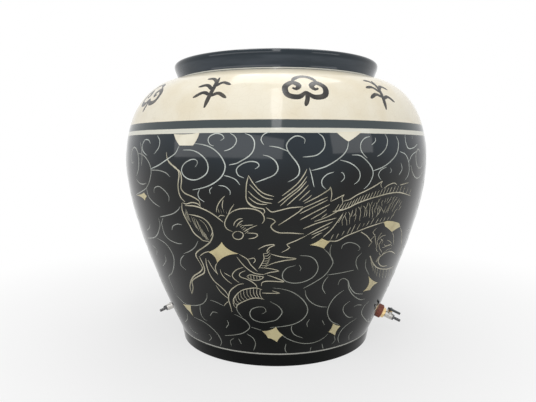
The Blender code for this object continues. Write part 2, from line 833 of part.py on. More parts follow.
def lever(cock, valve, parts, cutters):
    """The moulded lever, with a square hole for the stem and a lug under its heel for the stops."""
    base = lever_base()
    obj = extruded(f"{cock.name}_lever", lever_outline(), LEVER_THICKNESS, parts, valve, base)
    bevel = obj.modifiers.new("Eased edges", "BEVEL")
    bevel.width = LEVER_EDGE
    bevel.segments = 2
    bevel.limit_method = "ANGLE"
    bevel.angle_limit = math.radians(60)
    lug_base = BOSS_HEIGHT + STOP_GAP
    lug_top = base + LEVER_THICKNESS / 2
    lug_size = (STOP_PIN, STOP_PIN, lug_top - lug_base)
    lug_centre = (-STOP_RADIUS, 0, (lug_base + lug_top) / 2)
    combine(obj, "UNION", block(f"{cock.name}_lug", lug_size, lug_centre, cutters, valve))
    side = STEM_SQUARE + 2 * CLEARANCE
    hole_size = (side, side, LEVER_THICKNESS + 2 * OVERRUN)
    hole_centre = (0, 0, base + LEVER_THICKNESS / 2)
    combine(obj, "DIFFERENCE", block(f"{cock.name}_lever_hole", hole_size, hole_centre, cutters, valve))
    return finish(obj, "lever plastic", LEVER_PLASTIC)


def build_cock(cock, parts, cutters, envelope, cavity):
    """All the pieces of one cock, from the seal on the wall outwards, then the pieces inside the jar."""
    frame = add_empty(f"{cock.name}_axis", cock_matrix(cock), parts)
    reach = outer_seal(cock, frame, envelope, parts, cutters) + CLEARANCE
    nut_bore = SHANK_DIAMETER + 2 * CLEARANCE
    if cock.has_bung:
        nut(
            f"{cock.name}_flange_nut", "brass", BRASS, FLANGE_NUT_FLATS, FLANGE_NUT_THICKNESS,
            nut_bore, reach, parts, cutters, frame,
        )
        reach += FLANGE_NUT_THICKNESS + CLEARANCE
    ball_height = reach + BODY_LENGTH / 2
    bonnet = add_empty(f"{cock.name}_bonnet", valve_matrix(ball_height), parts, frame)
    valve = add_empty(f"{cock.name}_valve", valve_matrix(ball_height), parts, frame)
    cock_body(cock, frame, bonnet, reach, parts, cutters)
    hose_tail(cock, frame, reach + BODY_LENGTH, parts, cutters)
    seat(cock, "inner", frame, ball_height, -1, parts)
    seat(cock, "outer", frame, ball_height, 1, parts)
    packing(cock, bonnet, parts)
    gland_nut(cock, bonnet, parts, cutters)
    ball(cock, valve, parts, cutters)
    stem(cock, valve, parts, cutters)
    lever(cock, valve, parts, cutters)
    nut_base = lever_base() + LEVER_THICKNESS + CLEARANCE
    nut(
        f"{cock.name}_lever_nut", "steel", STEEL, LEVER_NUT_FLATS, LEVER_NUT_THICKNESS,
        STEM_SCREW + 2 * CLEARANCE, nut_base, parts, cutters, valve,
    )
    depth = wall_depth()
    back = -depth - INNER_WASHER_THICKNESS
    washer = turned(
        f"{cock.name}_inner_washer",
        ring_outline(nut_bore, INNER_WASHER_DIAMETER, back, -depth + WALL / 2, WASHER_EDGE),
        parts, DISC_SEGMENTS, True, frame,
    )
    combine(washer, "INTERSECT", cavity)
    finish(washer, "grey rubber", GREY_RUBBER)
    lock_frame = add_empty(
        f"{cock.name}_lock",
        Matrix.Translation((0, 0, back - CLEARANCE)) @ Matrix.Rotation(math.pi, 4, "X"),
        parts,
        frame,
    )
    nut(
        f"{cock.name}_lock_nut", "brass", BRASS, LOCK_NUT_FLATS, LOCK_NUT_THICKNESS,
        nut_bore, 0, parts, cutters, lock_frame,
    )
    return frame


def build_jar(parts):
    """The jar's sections from the foot up, and the one that the cocks go through."""
    sections = [turned("jar_foot", foot_section(), parts, JAR_SEGMENTS)]
    joints = wall_joints()
    outlines = [wall_section(low + CLEARANCE, high) for low, high in zip(joints, joints[1:])]
    outlines.append(shoulder_section(joints[-1] + CLEARANCE))
    tapped = None
    for name, low, outline in zip(WALL_SECTIONS, joints, outlines):
        sections.append(turned(name, outline, parts, JAR_SEGMENTS, True))
        if low < COCK_HEIGHT:
            tapped = sections[-1]
    sections.append(turned("jar_collar", collar_section(), parts, JAR_SEGMENTS, True))
    return sections, tapped


def drill(jar, cock, frame, cutters):
    depth = wall_depth()
    hole = rod(f"{cock.name}_wall_hole", WALL_HOLE, -depth - WALL, WALL, cutters, PIPE_SEGMENTS, frame)
    combine(jar, "DIFFERENCE", hole)


def main():
    clear_scene()
    parts = new_collection("Earthenware jar")
    cutters = new_collection("Cutters")
    sections, tapped = build_jar(parts)
    outside = [Vector((0, RIM_HEIGHT)), *reversed(grown(outer_wall(), CLEARANCE)), Vector((0, 0))]
    envelope = as_helper(turned("jar_envelope", outside, cutters, JAR_SEGMENTS))
    inside = [Vector((0, RIM_HEIGHT)), *reversed(grown(inner_wall(), -CLEARANCE)), Vector((0, FLOOR))]
    cavity = as_helper(turned("jar_cavity", inside, cutters, JAR_SEGMENTS))
    right = Cock("right_tap", -RIGHT_COCK_TURN_DEG, RIGHT_STEM_ROLL_DEG, True)
    left = Cock("left_tap", 180 + LEFT_COCK_TURN_DEG, LEFT_STEM_ROLL_DEG, False)
    for cock in (right, left):
        frame = build_cock(cock, parts, cutters, envelope, cavity)
        drill(tapped, cock, frame, cutters)
    for section in sections:
        finish(section, "black glaze", GLAZE)


main()
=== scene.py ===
"""Studio scene of a large glazed earthenware jar with two small lever ball cocks.

Units are metres and +Z is up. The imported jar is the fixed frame: it stands on z = 0 with its axis on
the Z axis, and its front faces -Y. The vessel is turned again here with a finer outline and glazed in
bands. Its cut decoration is drawn stroke by stroke, in the picture's coordinates as the camera sees
the front, laid on the wall and repeated round the back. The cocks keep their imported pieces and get
metal, rubber and plastic finishes.
"""

import logging
import math
from bisect import bisect_right
from dataclasses import dataclass
from enum import Enum
from typing import Protocol

import bmesh
import bpy
from mathutils import Matrix, Vector

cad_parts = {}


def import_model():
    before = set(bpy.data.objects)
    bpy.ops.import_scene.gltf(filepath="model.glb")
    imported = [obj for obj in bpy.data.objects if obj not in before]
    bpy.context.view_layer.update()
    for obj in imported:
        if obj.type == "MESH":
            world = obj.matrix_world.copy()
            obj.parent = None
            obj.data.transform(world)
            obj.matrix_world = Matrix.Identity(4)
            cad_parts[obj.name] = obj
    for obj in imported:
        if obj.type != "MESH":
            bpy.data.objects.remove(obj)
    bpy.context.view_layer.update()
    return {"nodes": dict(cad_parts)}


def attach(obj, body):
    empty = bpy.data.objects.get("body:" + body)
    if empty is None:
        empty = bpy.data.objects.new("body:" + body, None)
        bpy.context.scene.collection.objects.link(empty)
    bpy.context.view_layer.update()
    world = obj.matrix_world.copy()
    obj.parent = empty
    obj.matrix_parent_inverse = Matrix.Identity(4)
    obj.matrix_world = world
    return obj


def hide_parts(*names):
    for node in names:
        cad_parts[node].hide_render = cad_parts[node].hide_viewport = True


LOG = logging.getLogger("jar")

Colour = tuple[float, float, float]
Point = tuple[float, float]
Stroke = tuple[Point, ...]

TAU = 2 * math.pi
MERGE = 0.00001
FACES = (("front", 0.0), ("back", math.pi))
FLANKS = (("right", 0.0), ("left", math.pi))
WHITE = (1.0, 1.0, 1.0, 1.0)
MIRROR_RAYS = ("Is Glossy Ray", "Is Transmission Ray")


class Value:
    """A number on a shader socket. Arithmetic on it adds Math nodes to its material."""

    def __init__(self, recipe: "Recipe", socket: bpy.types.NodeSocket) -> None:
        """Wraps one output socket of a recipe's node."""
        self.recipe = recipe
        self.socket = socket

    def _maths(self, operation: str, first: object, second: object) -> "Value":
        """Adds one Math node and returns its result."""
        made = self.recipe.node("ShaderNodeMath", {"operation": operation}, {0: first, 1: second})
        return Value(self.recipe, made.outputs[0])

    def __add__(self, other: object) -> "Value":
        """This plus the other."""
        return self._maths("ADD", self, other)

    __radd__ = __add__

    def __mul__(self, other: object) -> "Value":
        """This times the other."""
        return self._maths("MULTIPLY", self, other)

    __rmul__ = __mul__

    def __sub__(self, other: object) -> "Value":
        """This less the other."""
        return self._maths("SUBTRACT", self, other)

    def __rsub__(self, other: object) -> "Value":
        """The other less this."""
        return self._maths("SUBTRACT", other, self)

    def __pow__(self, other: object) -> "Value":
        """This to the power of the other."""
        return self._maths("POWER", self, other)


class Recipe:
    """The node tree of one material, with the few kinds of pattern that the finishes share."""

    def __init__(self, name: str) -> None:
        """Starts an empty node material.

        Args:
            name: The material's name.
        """
        self.material = bpy.data.materials.new(name)
        self.material.use_nodes = True
        self.material.node_tree.nodes.clear()
        self.place = self.node("ShaderNodeTexCoord").outputs["Object"]
        axes = self.node("ShaderNodeSeparateXYZ", {}, {0: self.place})
        self.across, self.along, self.height = (Value(self, axis) for axis in axes.outputs)

    def node(self, kind: str, settings: dict | None = None, sockets: dict | None = None) -> bpy.types.Node:
        """Adds a node.

        Args:
            kind: The node's type.
            settings: Its properties, set before its sockets.
            sockets: What each input gets: a number, a colour, a socket or a Value.

        Returns:
            The new node.
        """
        tree = self.material.node_tree
        made = tree.nodes.new(kind)
        for key, setting in (settings or {}).items():
            setattr(made, key, setting)
        for key, given in (sockets or {}).items():
            source = given.socket if isinstance(given, Value) else given
            if isinstance(source, bpy.types.NodeSocket):
                tree.links.new(source, made.inputs[key])
            else:
                made.inputs[key].default_value = source
        return made

    def stretched(self, scale: tuple[float, float, float]) -> bpy.types.NodeSocket:
        """Object coordinates, stretched along the axes."""
        return self.node("ShaderNodeMapping", {}, {"Vector": self.place, "Scale": scale}).outputs[0]

    def noise(self, scale: float, detail: float = 3.0, place: bpy.types.NodeSocket | None = None) -> Value:
        """Soft noise from 0 to 1, about scale waves to a metre."""
        sockets = {"Vector": place or self.place, "Scale": scale, "Detail": detail}
        return Value(self, self.node("ShaderNodeTexNoise", {}, sockets).outputs[0])

    def wander(self, scale: float, reach: float) -> Value:
        """Soft noise about zero, this far from its lowest to its highest."""
        return (self.noise(scale, 2.0) - 0.5) * reach

    def cells(self, feature: str, scale: float) -> Value:
        """Cell pattern.

        Args:
            feature: What of the cells is read.
            scale: About how many cells there are to a metre.

        Returns:
            The distance to the cell's point or to its edge, in cells.
        """
        settings = {"feature": feature}
        sockets = {"Vector": self.place, "Scale": scale}
        return Value(self, self.node("ShaderNodeTexVoronoi", settings, sockets).outputs["Distance"])

    def step(self, value: Value, low: float, high: float) -> Value:
        """A soft step.

        Args:
            value: What is stepped.
            low: Where the step starts.
            high: Where it ends.

        Returns:
            0 where the value is under low, 1 where it is over high, and smooth between.
        """
        settings = {"interpolation_type": "SMOOTHSTEP"}
        sockets = {"Value": value, "From Min": low, "From Max": high}
        return Value(self, self.node("ShaderNodeMapRange", settings, sockets).outputs[0])

    def band(self, value: Value, low: float, high: float, soft: float) -> Value:
        """1 between low and high, with an edge as wide as soft on either side."""
        return self.step(value, low - soft, low + soft) * (1 - self.step(value, high - soft, high + soft))

    def mix(self, mask: Value, first: object, second: object) -> bpy.types.NodeSocket:
        """A mix of two colours.

        Args:
            mask: The share of the second.
            first: A colour or a socket.
            second: The other one.

        Returns:
            The first colour where the mask is 0, the second where it is 1.
        """
        settings = {"data_type": "RGBA"}
        ends = [(*end, 1.0) if isinstance(end, tuple) else end for end in (first, second)]
        return self.node("ShaderNodeMix", settings, {0: mask, 6: ends[0], 7: ends[1]}).outputs[2]

    def bump(self, height: Value, depth: float, strength: float = 1.0) -> bpy.types.NodeSocket:
        """A normal from a height of 0 to 1 that stands for this depth in metres."""
        sockets = {"Height": height, "Distance": depth, "Strength": strength}
        return self.node("ShaderNodeBump", {}, sockets).outputs[0]

    def done(
        self,
        colour: bpy.types.NodeSocket,
        roughness: Value,
        normal: bpy.types.NodeSocket,
        **others: object,
    ) -> bpy.types.Material:
        """Adds the shader and the output.

        Args:
            colour: The base colour.
            roughness: The roughness.
            normal: The normal.
            others: Other sockets of the shader by name, with _ for a space.

        Returns:
            The finished material.
        """
        sockets = {"Base Color": colour, "Roughness": roughness, "Normal": normal}
        sockets.update({key.replace("_", " "): given for key, given in others.items()})
        shader = self.node("ShaderNodeBsdfPrincipled", {}, sockets)
        self.node("ShaderNodeOutputMaterial", {}, {0: shader.outputs[0]})
        return self.material


class Finish(Protocol):
    """What every finish has: a name, and a way to make its material."""

    name: str

    def build(self) -> bpy.types.Material:
        """Makes the material."""


class Zone(Enum):
    """The runs of the vessel's surface that have a finish of their own."""

    OUTSIDE = 0
    INSIDE = 1
    SOLE = 2


class Taper(Enum):
    """Which ends of a cut line run out to nothing."""

    BOTH = (True, True)
    END = (False, True)


@dataclass(frozen=True)
class BandedGlaze:
    """The jar's outside: black glaze, a cream slip shoulder and the banded lines between them, with painted
    sky reflection on the upper belly, the stripe and the collar, and painted shade on the foot line.
    """

    name: str = "banded_glaze"
    black: Colour = (0.0014, 0.0018, 0.0020)
    green: Colour = (0.0030, 0.0042, 0.0034)
    # Painted reflection: a bluish sky veil on the black glaze of the upper belly.
    painted_sky_veil: Colour = (0.016, 0.025, 0.034)
    # Painted reflection: the collar's mottled bluish band is the sky reflected in its glaze, painted into
    # the colour.
    neck: Colour = (0.045, 0.057, 0.072)
    painted_collar_reflection_heights: tuple[float, float] = (0.7810, 0.8080)
    painted_collar_reflection_edge: float = 0.0030
    painted_sky_veil_heights: tuple[float, float] = (0.47, 0.62)
    cream: Colour = (0.80, 0.725, 0.560)
    cream_thick: Colour = (0.85, 0.795, 0.655)
    crackle: Colour = (0.52, 0.44, 0.30)
    crackle_width: float = 0.035
    speck: Colour = (0.30, 0.22, 0.13)
    line: Colour = (0.71, 0.70, 0.61)
    # Painted shade: the foot's cut line is the same cream slip as the upper line, painted darker near the
    # floor.
    painted_shade_foot_line: Colour = (0.46, 0.46, 0.42)
    # Painted reflection: the narrow band under the shoulder is black glaze painted grey-blue as the sky
    # reflected in it.
    painted_stripe_reflection: Colour = (0.055, 0.070, 0.074)
    foot_line: tuple[float, float] = (0.0352, 0.0392)
    upper_line: tuple[float, float] = (0.6125, 0.6235)
    shoulder_low: float = 0.6425
    shoulder_high: float = 0.7735
    collar_line: tuple[float, float] = (0.7762, 0.7788)
    line_edge: float = 0.0005
    foot_line_edge: float = 0.0004
    roughness: float = 0.055
    ior: float = 1.20
    coat: float = 0.36
    coat_roughness: float = 0.06
    coat_heights: tuple[float, float] = (0.10, 0.27)
    skin_depth: float = 0.0006

    def build(self) -> bpy.types.Material:
        """Makes the material.

        Returns:
            The banded glaze.
        """
        r = Recipe(self.name)
        height = r.height + r.wander(5.0, 0.0022) + r.wander(70.0, 0.0007)
        shoulder = r.band(height, self.shoulder_low, self.shoulder_high, self.line_edge)
        upper = r.band(height, *self.upper_line, self.line_edge)
        lower = r.band(height, *self.foot_line, self.foot_line_edge)
        painted_stripe_reflection = r.band(height, self.upper_line[1], self.shoulder_low, self.line_edge)
        pale = r.band(height, *self.collar_line, self.line_edge)
        cloud = r.step(r.noise(9.0, 4.0), 0.35, 0.75)
        dark = r.mix(cloud, self.black, self.green)
        # Painted reflection: the black glaze turns bluish up the belly, standing in for the sky reflected
        # in it.
        high = r.step(r.height + r.wander(3.5, 0.25), *self.painted_sky_veil_heights)
        dark = r.mix(high, dark, self.painted_sky_veil)
        # Painted reflection on the collar: a bluish band between these heights, mottled by this noise.
        collar_reflection_mottle = r.step(r.noise(7.0, 4.0, r.stretched((1.0, 1.0, 6.0))), 0.35, 0.65)
        neck = r.band(r.height, *self.painted_collar_reflection_heights, self.painted_collar_reflection_edge)
        dark = r.mix(neck * (collar_reflection_mottle * 0.6 + 0.4), dark, self.neck)
        # Painted reflection: grey-blue over the black glaze on the narrow band under the shoulder.
        dark = r.mix(painted_stripe_reflection, dark, self.painted_stripe_reflection)
        thick = r.step(r.noise(14.0, 5.0), 0.3, 0.7)
        slip = r.mix(thick, self.cream, self.cream_thick)
        crackle = 1 - r.step(r.cells("DISTANCE_TO_EDGE", 60.0), 0.0, self.crackle_width)
        slip = r.mix(crackle * 0.14, slip, self.crackle)
        specks = 1 - r.step(r.cells("F1", 210.0), 0.05, 0.11)
        rare = r.step(r.noise(55.0, 1.0), 0.6, 0.66)
        slip = r.mix(specks * rare * 0.6, slip, self.speck)
        colour = r.mix(shoulder, dark, slip)
        colour = r.mix(upper + pale, colour, self.line)
        # Painted shade: the foot line gets a darker copy of the line colour.
        colour = r.mix(lower, colour, self.painted_shade_foot_line)
        smear = r.noise(4.0, 4.0, r.stretched((1.0, 1.0, 7.0)))
        roughness = self.roughness + smear * 0.07 + shoulder * 0.10
        rings = r.noise(1.0, 3.0, r.stretched((0.6, 0.6, 95.0)))
        skin = r.noise(38.0) * 0.6 + rings * 0.5 - specks * rare * 0.3
        coat = r.step(r.height + r.wander(4.0, 0.16), *self.coat_heights) * self.coat
        normal = r.bump(skin, self.skin_depth, 0.35)
        return r.done(
            colour, roughness, normal, IOR=self.ior, Coat_Weight=coat, Coat_Roughness=self.coat_roughness,
        )


@dataclass(frozen=True)
class InnerGlaze:
    """The thin brown glaze inside the jar."""

    name: str = "inner_glaze"
    thin: Colour = (0.170, 0.078, 0.040)
    thick: Colour = (0.070, 0.033, 0.020)
    roughness: float = 0.16
    ring_depth: float = 0.0012

    def build(self) -> bpy.types.Material:
        """Makes the material.

        Returns:
            The inner glaze.
        """
        r = Recipe(self.name)
        runs = r.noise(9.0, 5.0, r.stretched((1.0, 1.0, 0.25)))
        colour = r.mix(r.step(runs, 0.35, 0.65), self.thin, self.thick)
        rings = r.noise(1.0, 3.0, r.stretched((0.8, 0.8, 70.0)))
        normal = r.bump(rings + r.noise(60.0) * 0.4, self.ring_depth, 0.6)
        return r.done(colour, self.roughness + r.noise(20.0) * 0.18, normal)


@dataclass(frozen=True)
class BareClay:
    """Unglazed fired clay under the foot."""

    name: str = "bare_clay"
    fired: Colour = (0.33, 0.19, 0.115)
    smoked: Colour = (0.20, 0.115, 0.075)
    grit: Colour = (0.46, 0.35, 0.24)
    roughness: float = 0.78
    grain_depth: float = 0.0006

    def build(self) -> bpy.types.Material:
        """Makes the material.

        Returns:
            The bare clay.
        """
        r = Recipe(self.name)
        colour = r.mix(r.step(r.noise(16.0, 5.0), 0.35, 0.7), self.fired, self.smoked)
        grit = 1 - r.step(r.cells("F1", 420.0), 0.1, 0.5)
        colour = r.mix(grit * 0.35, colour, self.grit)
        normal = r.bump(r.noise(240.0, 5.0) + grit * 0.4, self.grain_depth)
        return r.done(colour, self.roughness + r.noise(90.0) * 0.15, normal)


@dataclass(frozen=True)
class SlipCut:
    """Pale slip that shows where the black glaze is cut away."""

    name: str
    pale: Colour
    worn: Colour
    roughness: float
    grain_depth: float = 0.0002

    def build(self) -> bpy.types.Material:
        """Makes the material.

        Returns:
            The slip.
        """
        r = Recipe(self.name)
        colour = r.mix(r.step(r.noise(26.0, 5.0), 0.35, 0.75), self.pale, self.worn)
        grain = r.noise(420.0)
        colour = r.mix(r.step(grain, 0.52, 0.75) * 0.3, colour, self.worn)
        return r.done(colour, self.roughness + grain * 0.12, r.bump(grain, self.grain_depth, 0.5))


@dataclass(frozen=True)
class BrushedOxide:
    """Dark iron brushwork on the shoulder, thinner at the edges of a stroke."""

    name: str = "brushed_oxide"
    dense: Colour = (0.016, 0.015, 0.014)
    thin: Colour = (0.060, 0.052, 0.042)
    roughness: float = 0.14
    grain_depth: float = 0.00015

    def build(self) -> bpy.types.Material:
        """Makes the material.

        Returns:
            The oxide.
        """
        r = Recipe(self.name)
        wash = r.step(r.noise(48.0, 5.0), 0.42, 0.72)
        colour = r.mix(wash, self.dense, self.thin)
        normal = r.bump(r.noise(260.0), self.grain_depth, 0.5)
        return r.done(colour, self.roughness + r.noise(60.0) * 0.12, normal)


@dataclass(frozen=True)
class Rubber:
    """Moulded rubber with a dusty bloom."""

    name: str
    base: Colour
    bloom: Colour
    roughness: float = 0.52
    pore_depth: float = 0.00012

    def build(self) -> bpy.types.Material:
        """Makes the material.

        Returns:
            The rubber.
        """
        r = Recipe(self.name)
        dust = r.step(r.noise(230.0, 6.0), 0.45, 0.75)
        colour = r.mix(dust * 0.6, self.base, self.bloom)
        normal = r.bump(r.noise(1900.0), self.pore_depth, 0.8)
        return r.done(colour, self.roughness + dust * 0.25, normal)


@dataclass(frozen=True)
class Metal:
    """A turned or cast metal part with fine tool marks, tarnish and duller patches."""

    name: str
    bright: Colour
    tarnish: Colour
    roughness: float
    wear: float
    mark_depth: float = 0.00005

    def build(self) -> bpy.types.Material:
        """Makes the material.

        Returns:
            The metal.
        """
        r = Recipe(self.name)
        patches = r.step(r.noise(150.0, 6.0), 0.48, 0.78)
        spots = 1 - r.step(r.cells("F1", 900.0), 0.08, 0.3)
        aged = patches * self.wear + spots * self.wear * 0.4
        colour = r.mix(aged, self.bright, self.tarnish)
        marks = r.noise(2600.0, 2.0)
        roughness = self.roughness + aged * 0.28 + marks * 0.06
        normal = r.bump(marks + r.noise(300.0) * 0.8, self.mark_depth, 0.7)
        return r.done(colour, roughness, normal, Metallic=1.0)


@dataclass(frozen=True)
class Plastic:
    """Moulded plastic with a fine grain, scuffed paler in places."""

    name: str
    base: Colour
    scuffed: Colour
    roughness: float
    grain_depth: float = 0.00004

    def build(self) -> bpy.types.Material:
        """Makes the material.

        Returns:
            The plastic.
        """
        r = Recipe(self.name)
        scuffs = r.step(r.noise(320.0, 6.0), 0.55, 0.8)
        colour = r.mix(scuffs * 0.55, self.base, self.scuffed)
        normal = r.bump(r.noise(2400.0, 2.0), self.grain_depth, 0.8)
        return r.done(colour, self.roughness + scuffs * 0.2, normal)


@dataclass(frozen=True)
class PaleFloor:
    """The studio floor: white far off, and plain enough near the jar to keep its shadow."""

    name: str = "pale_floor"
    sheet: Colour = (0.83, 0.83, 0.83)
    cloud: Colour = (0.85, 0.85, 0.85)
    roughness: float = 0.85
    near: float = 0.68
    near_reach: float = 0.5
    far_reach: float = 1.6

    def build(self) -> bpy.types.Material:
        """Makes the material.

        Returns:
            The floor's sheet.
        """
        r = Recipe(self.name)
        tint = r.mix(r.noise(1.5, 2.0), self.sheet, self.cloud)
        away = (r.across**2 + r.along**2) ** 0.5
        share = self.near + (1 - self.near) * r.step(away, self.near_reach, self.far_reach)
        path = r.node("ShaderNodeLightPath")
        seen = Value(r, path.outputs["Is Camera Ray"])
        for ray in MIRROR_RAYS:
            seen = seen + Value(r, path.outputs[ray])
        plain = r.node("ShaderNodeBsdfPrincipled", {}, {"Base Color": tint, "Roughness": self.roughness})
        white = r.node("ShaderNodeEmission", {}, {"Color": WHITE, "Strength": 1.0})
        mix = r.node("ShaderNodeMixShader", {}, {0: seen * share, 1: plain.outputs[0], 2: white.outputs[0]})
        r.node("ShaderNodeOutputMaterial", {}, {0: mix.outputs[0]})
        return r.material


LINE_SLIP = SlipCut("line_slip", (0.54, 0.505, 0.38), (0.30, 0.28, 0.195), 0.22)
# Painted reflection: the upper scrolls' copy of the line slip, brighter and bluish as the sky reflected on
# it.
SKY_LIT_SLIP = SlipCut("sky_lit_slip", (0.57, 0.615, 0.575), (0.34, 0.365, 0.335), 0.20)
# Painted shade: darker, greyer copies of the line slip for the scrolls at the sides and low on the belly.
SIDE_SHADED_SLIP = SlipCut("side_shaded_slip", (0.36, 0.375, 0.345), (0.20, 0.205, 0.18), 0.24)
LOW_SHADED_SLIP = SlipCut("low_shaded_slip", (0.31, 0.325, 0.285), (0.18, 0.185, 0.155), 0.26)
FIELD_SLIP = SlipCut("field_slip", (0.57, 0.50, 0.275), (0.44, 0.37, 0.20), 0.20)
TAB_SLIP = SlipCut("tab_slip", (0.76, 0.72, 0.58), (0.68, 0.63, 0.49), 0.16)
OXIDE = BrushedOxide()
RED_RUBBER = Rubber("red_rubber", (0.27, 0.070, 0.042), (0.42, 0.19, 0.12))
GREY_RUBBER = Rubber("grey_rubber", (0.22, 0.225, 0.23), (0.38, 0.38, 0.37))
BRASS = Metal("brass", (0.80, 0.60, 0.31), (0.30, 0.17, 0.075), 0.24, 0.55)
NICKEL = Metal("nickel", (0.56, 0.545, 0.52), (0.20, 0.185, 0.16), 0.20, 0.60)
DARK_NICKEL = Metal("dark_nickel", (0.125, 0.125, 0.130), (0.055, 0.052, 0.050), 0.24, 0.50)
STEEL = Metal("steel", (0.66, 0.67, 0.68), (0.34, 0.32, 0.30), 0.26, 0.45)
SEAL_PLASTIC = Plastic("seal_plastic", (0.84, 0.83, 0.78), (0.72, 0.69, 0.61), 0.38)
LEVER_PLASTIC = Plastic("lever_plastic", (0.060, 0.066, 0.072), (0.15, 0.155, 0.16), 0.36)


class Shelf:
    """Builds each finish once and hands it out."""

    def __init__(self) -> None:
        """Starts with no material built."""
        self._built: dict[str, bpy.types.Material] = {}

    def material(self, finish: Finish) -> bpy.types.Material:
        """Builds a finish when it is first asked for.

        Args:
            finish: The finish.

        Returns:
            Its material.
        """
        if finish.name not in self._built:
            self._built[finish.name] = finish.build()
        return self._built[finish.name]


@dataclass(frozen=True)
class Bench:
    """Turns finished meshes into pieces that ride on a body of the frame."""

    shelf: Shelf
    sharp_deg: float = 38.0

    def piece(
        self,
        name: str,
        mesh: bpy.types.Mesh,
        finishes: tuple[Finish, ...],
        slot: str,
        body: str = "root",
        replaces: tuple[str, ...] = (),
    ) -> None:
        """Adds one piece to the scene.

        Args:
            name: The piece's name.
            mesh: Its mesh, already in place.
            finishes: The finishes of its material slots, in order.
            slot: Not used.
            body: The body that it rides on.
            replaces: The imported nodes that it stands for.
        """
        mesh.name = name
        for finish in finishes:
            mesh.materials.append(self.shelf.material(finish))
        mesh.shade_smooth()
        mesh.set_sharp_from_angle(angle=math.radians(self.sharp_deg))
        obj = bpy.data.objects.new(name, mesh)
        bpy.context.scene.collection.objects.link(obj)
        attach(obj, body)
        if replaces:
            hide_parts(*replaces)
        LOG.info("%s: %d faces on %s", name, len(mesh.polygons), body)


def mesh_of(work: bmesh.types.BMesh, name: str) -> bpy.types.Mesh:
    """Closes a bmesh into a mesh.

    Args:
        work: The bmesh, which is freed.
        name: The mesh's name.

    Returns:
        The mesh.
    """
    mesh = bpy.data.meshes.new(name)
    work.to_mesh(mesh)
    work.free()
    return mesh


def evaluated(obj: bpy.types.Object) -> bpy.types.Mesh:
    """The mesh of a curve, as the scene shows it; the curve's object goes.

    Args:
        obj: A curve's object that is in no collection yet.

    Returns:
        A mesh of its own.
    """
    bpy.context.scene.collection.objects.link(obj)
    bpy.context.view_layer.update()
    shown = obj.evaluated_get(bpy.context.evaluated_depsgraph_get())
    mesh = bpy.data.meshes.new_from_object(shown)
    bpy.data.objects.remove(obj)
    return mesh


def bezier(start: Vector, first: Vector, second: Vector, end: Vector, steps: int) -> list[Vector]:
    """A cubic curve, its start left out so that runs can follow each other.

    Args:
        start: Where it starts.
        first: Its first handle.
        second: Its second handle.
        end: Where it ends.
        steps: How many points it gets.

    Returns:
        The points.
    """
    points = []
    for step in range(1, steps + 1):
        t = step / steps
        u = 1 - t
        points.append(start * u**3 + first * (3 * u * u * t) + second * (3 * u * t * t) + end * t**3)
    return points


def quarter_round(start: Vector, corner: Vector, end: Vector, steps: int) -> list[Vector]:
    """A quarter round that touches both legs of a corner, its start left out.

    Args:
        start: Where it leaves the first leg.
        corner: The corner that it cuts off.
        end: Where it meets the second leg.
        steps: How many points it gets.

    Returns:
        The points.
    """
    centre = start + end - corner
    turns = [math.pi / 2 * step / steps for step in range(1, steps + 1)]
    return [centre + (start - centre) * math.cos(a) + (end - centre) * math.sin(a) for a in turns]


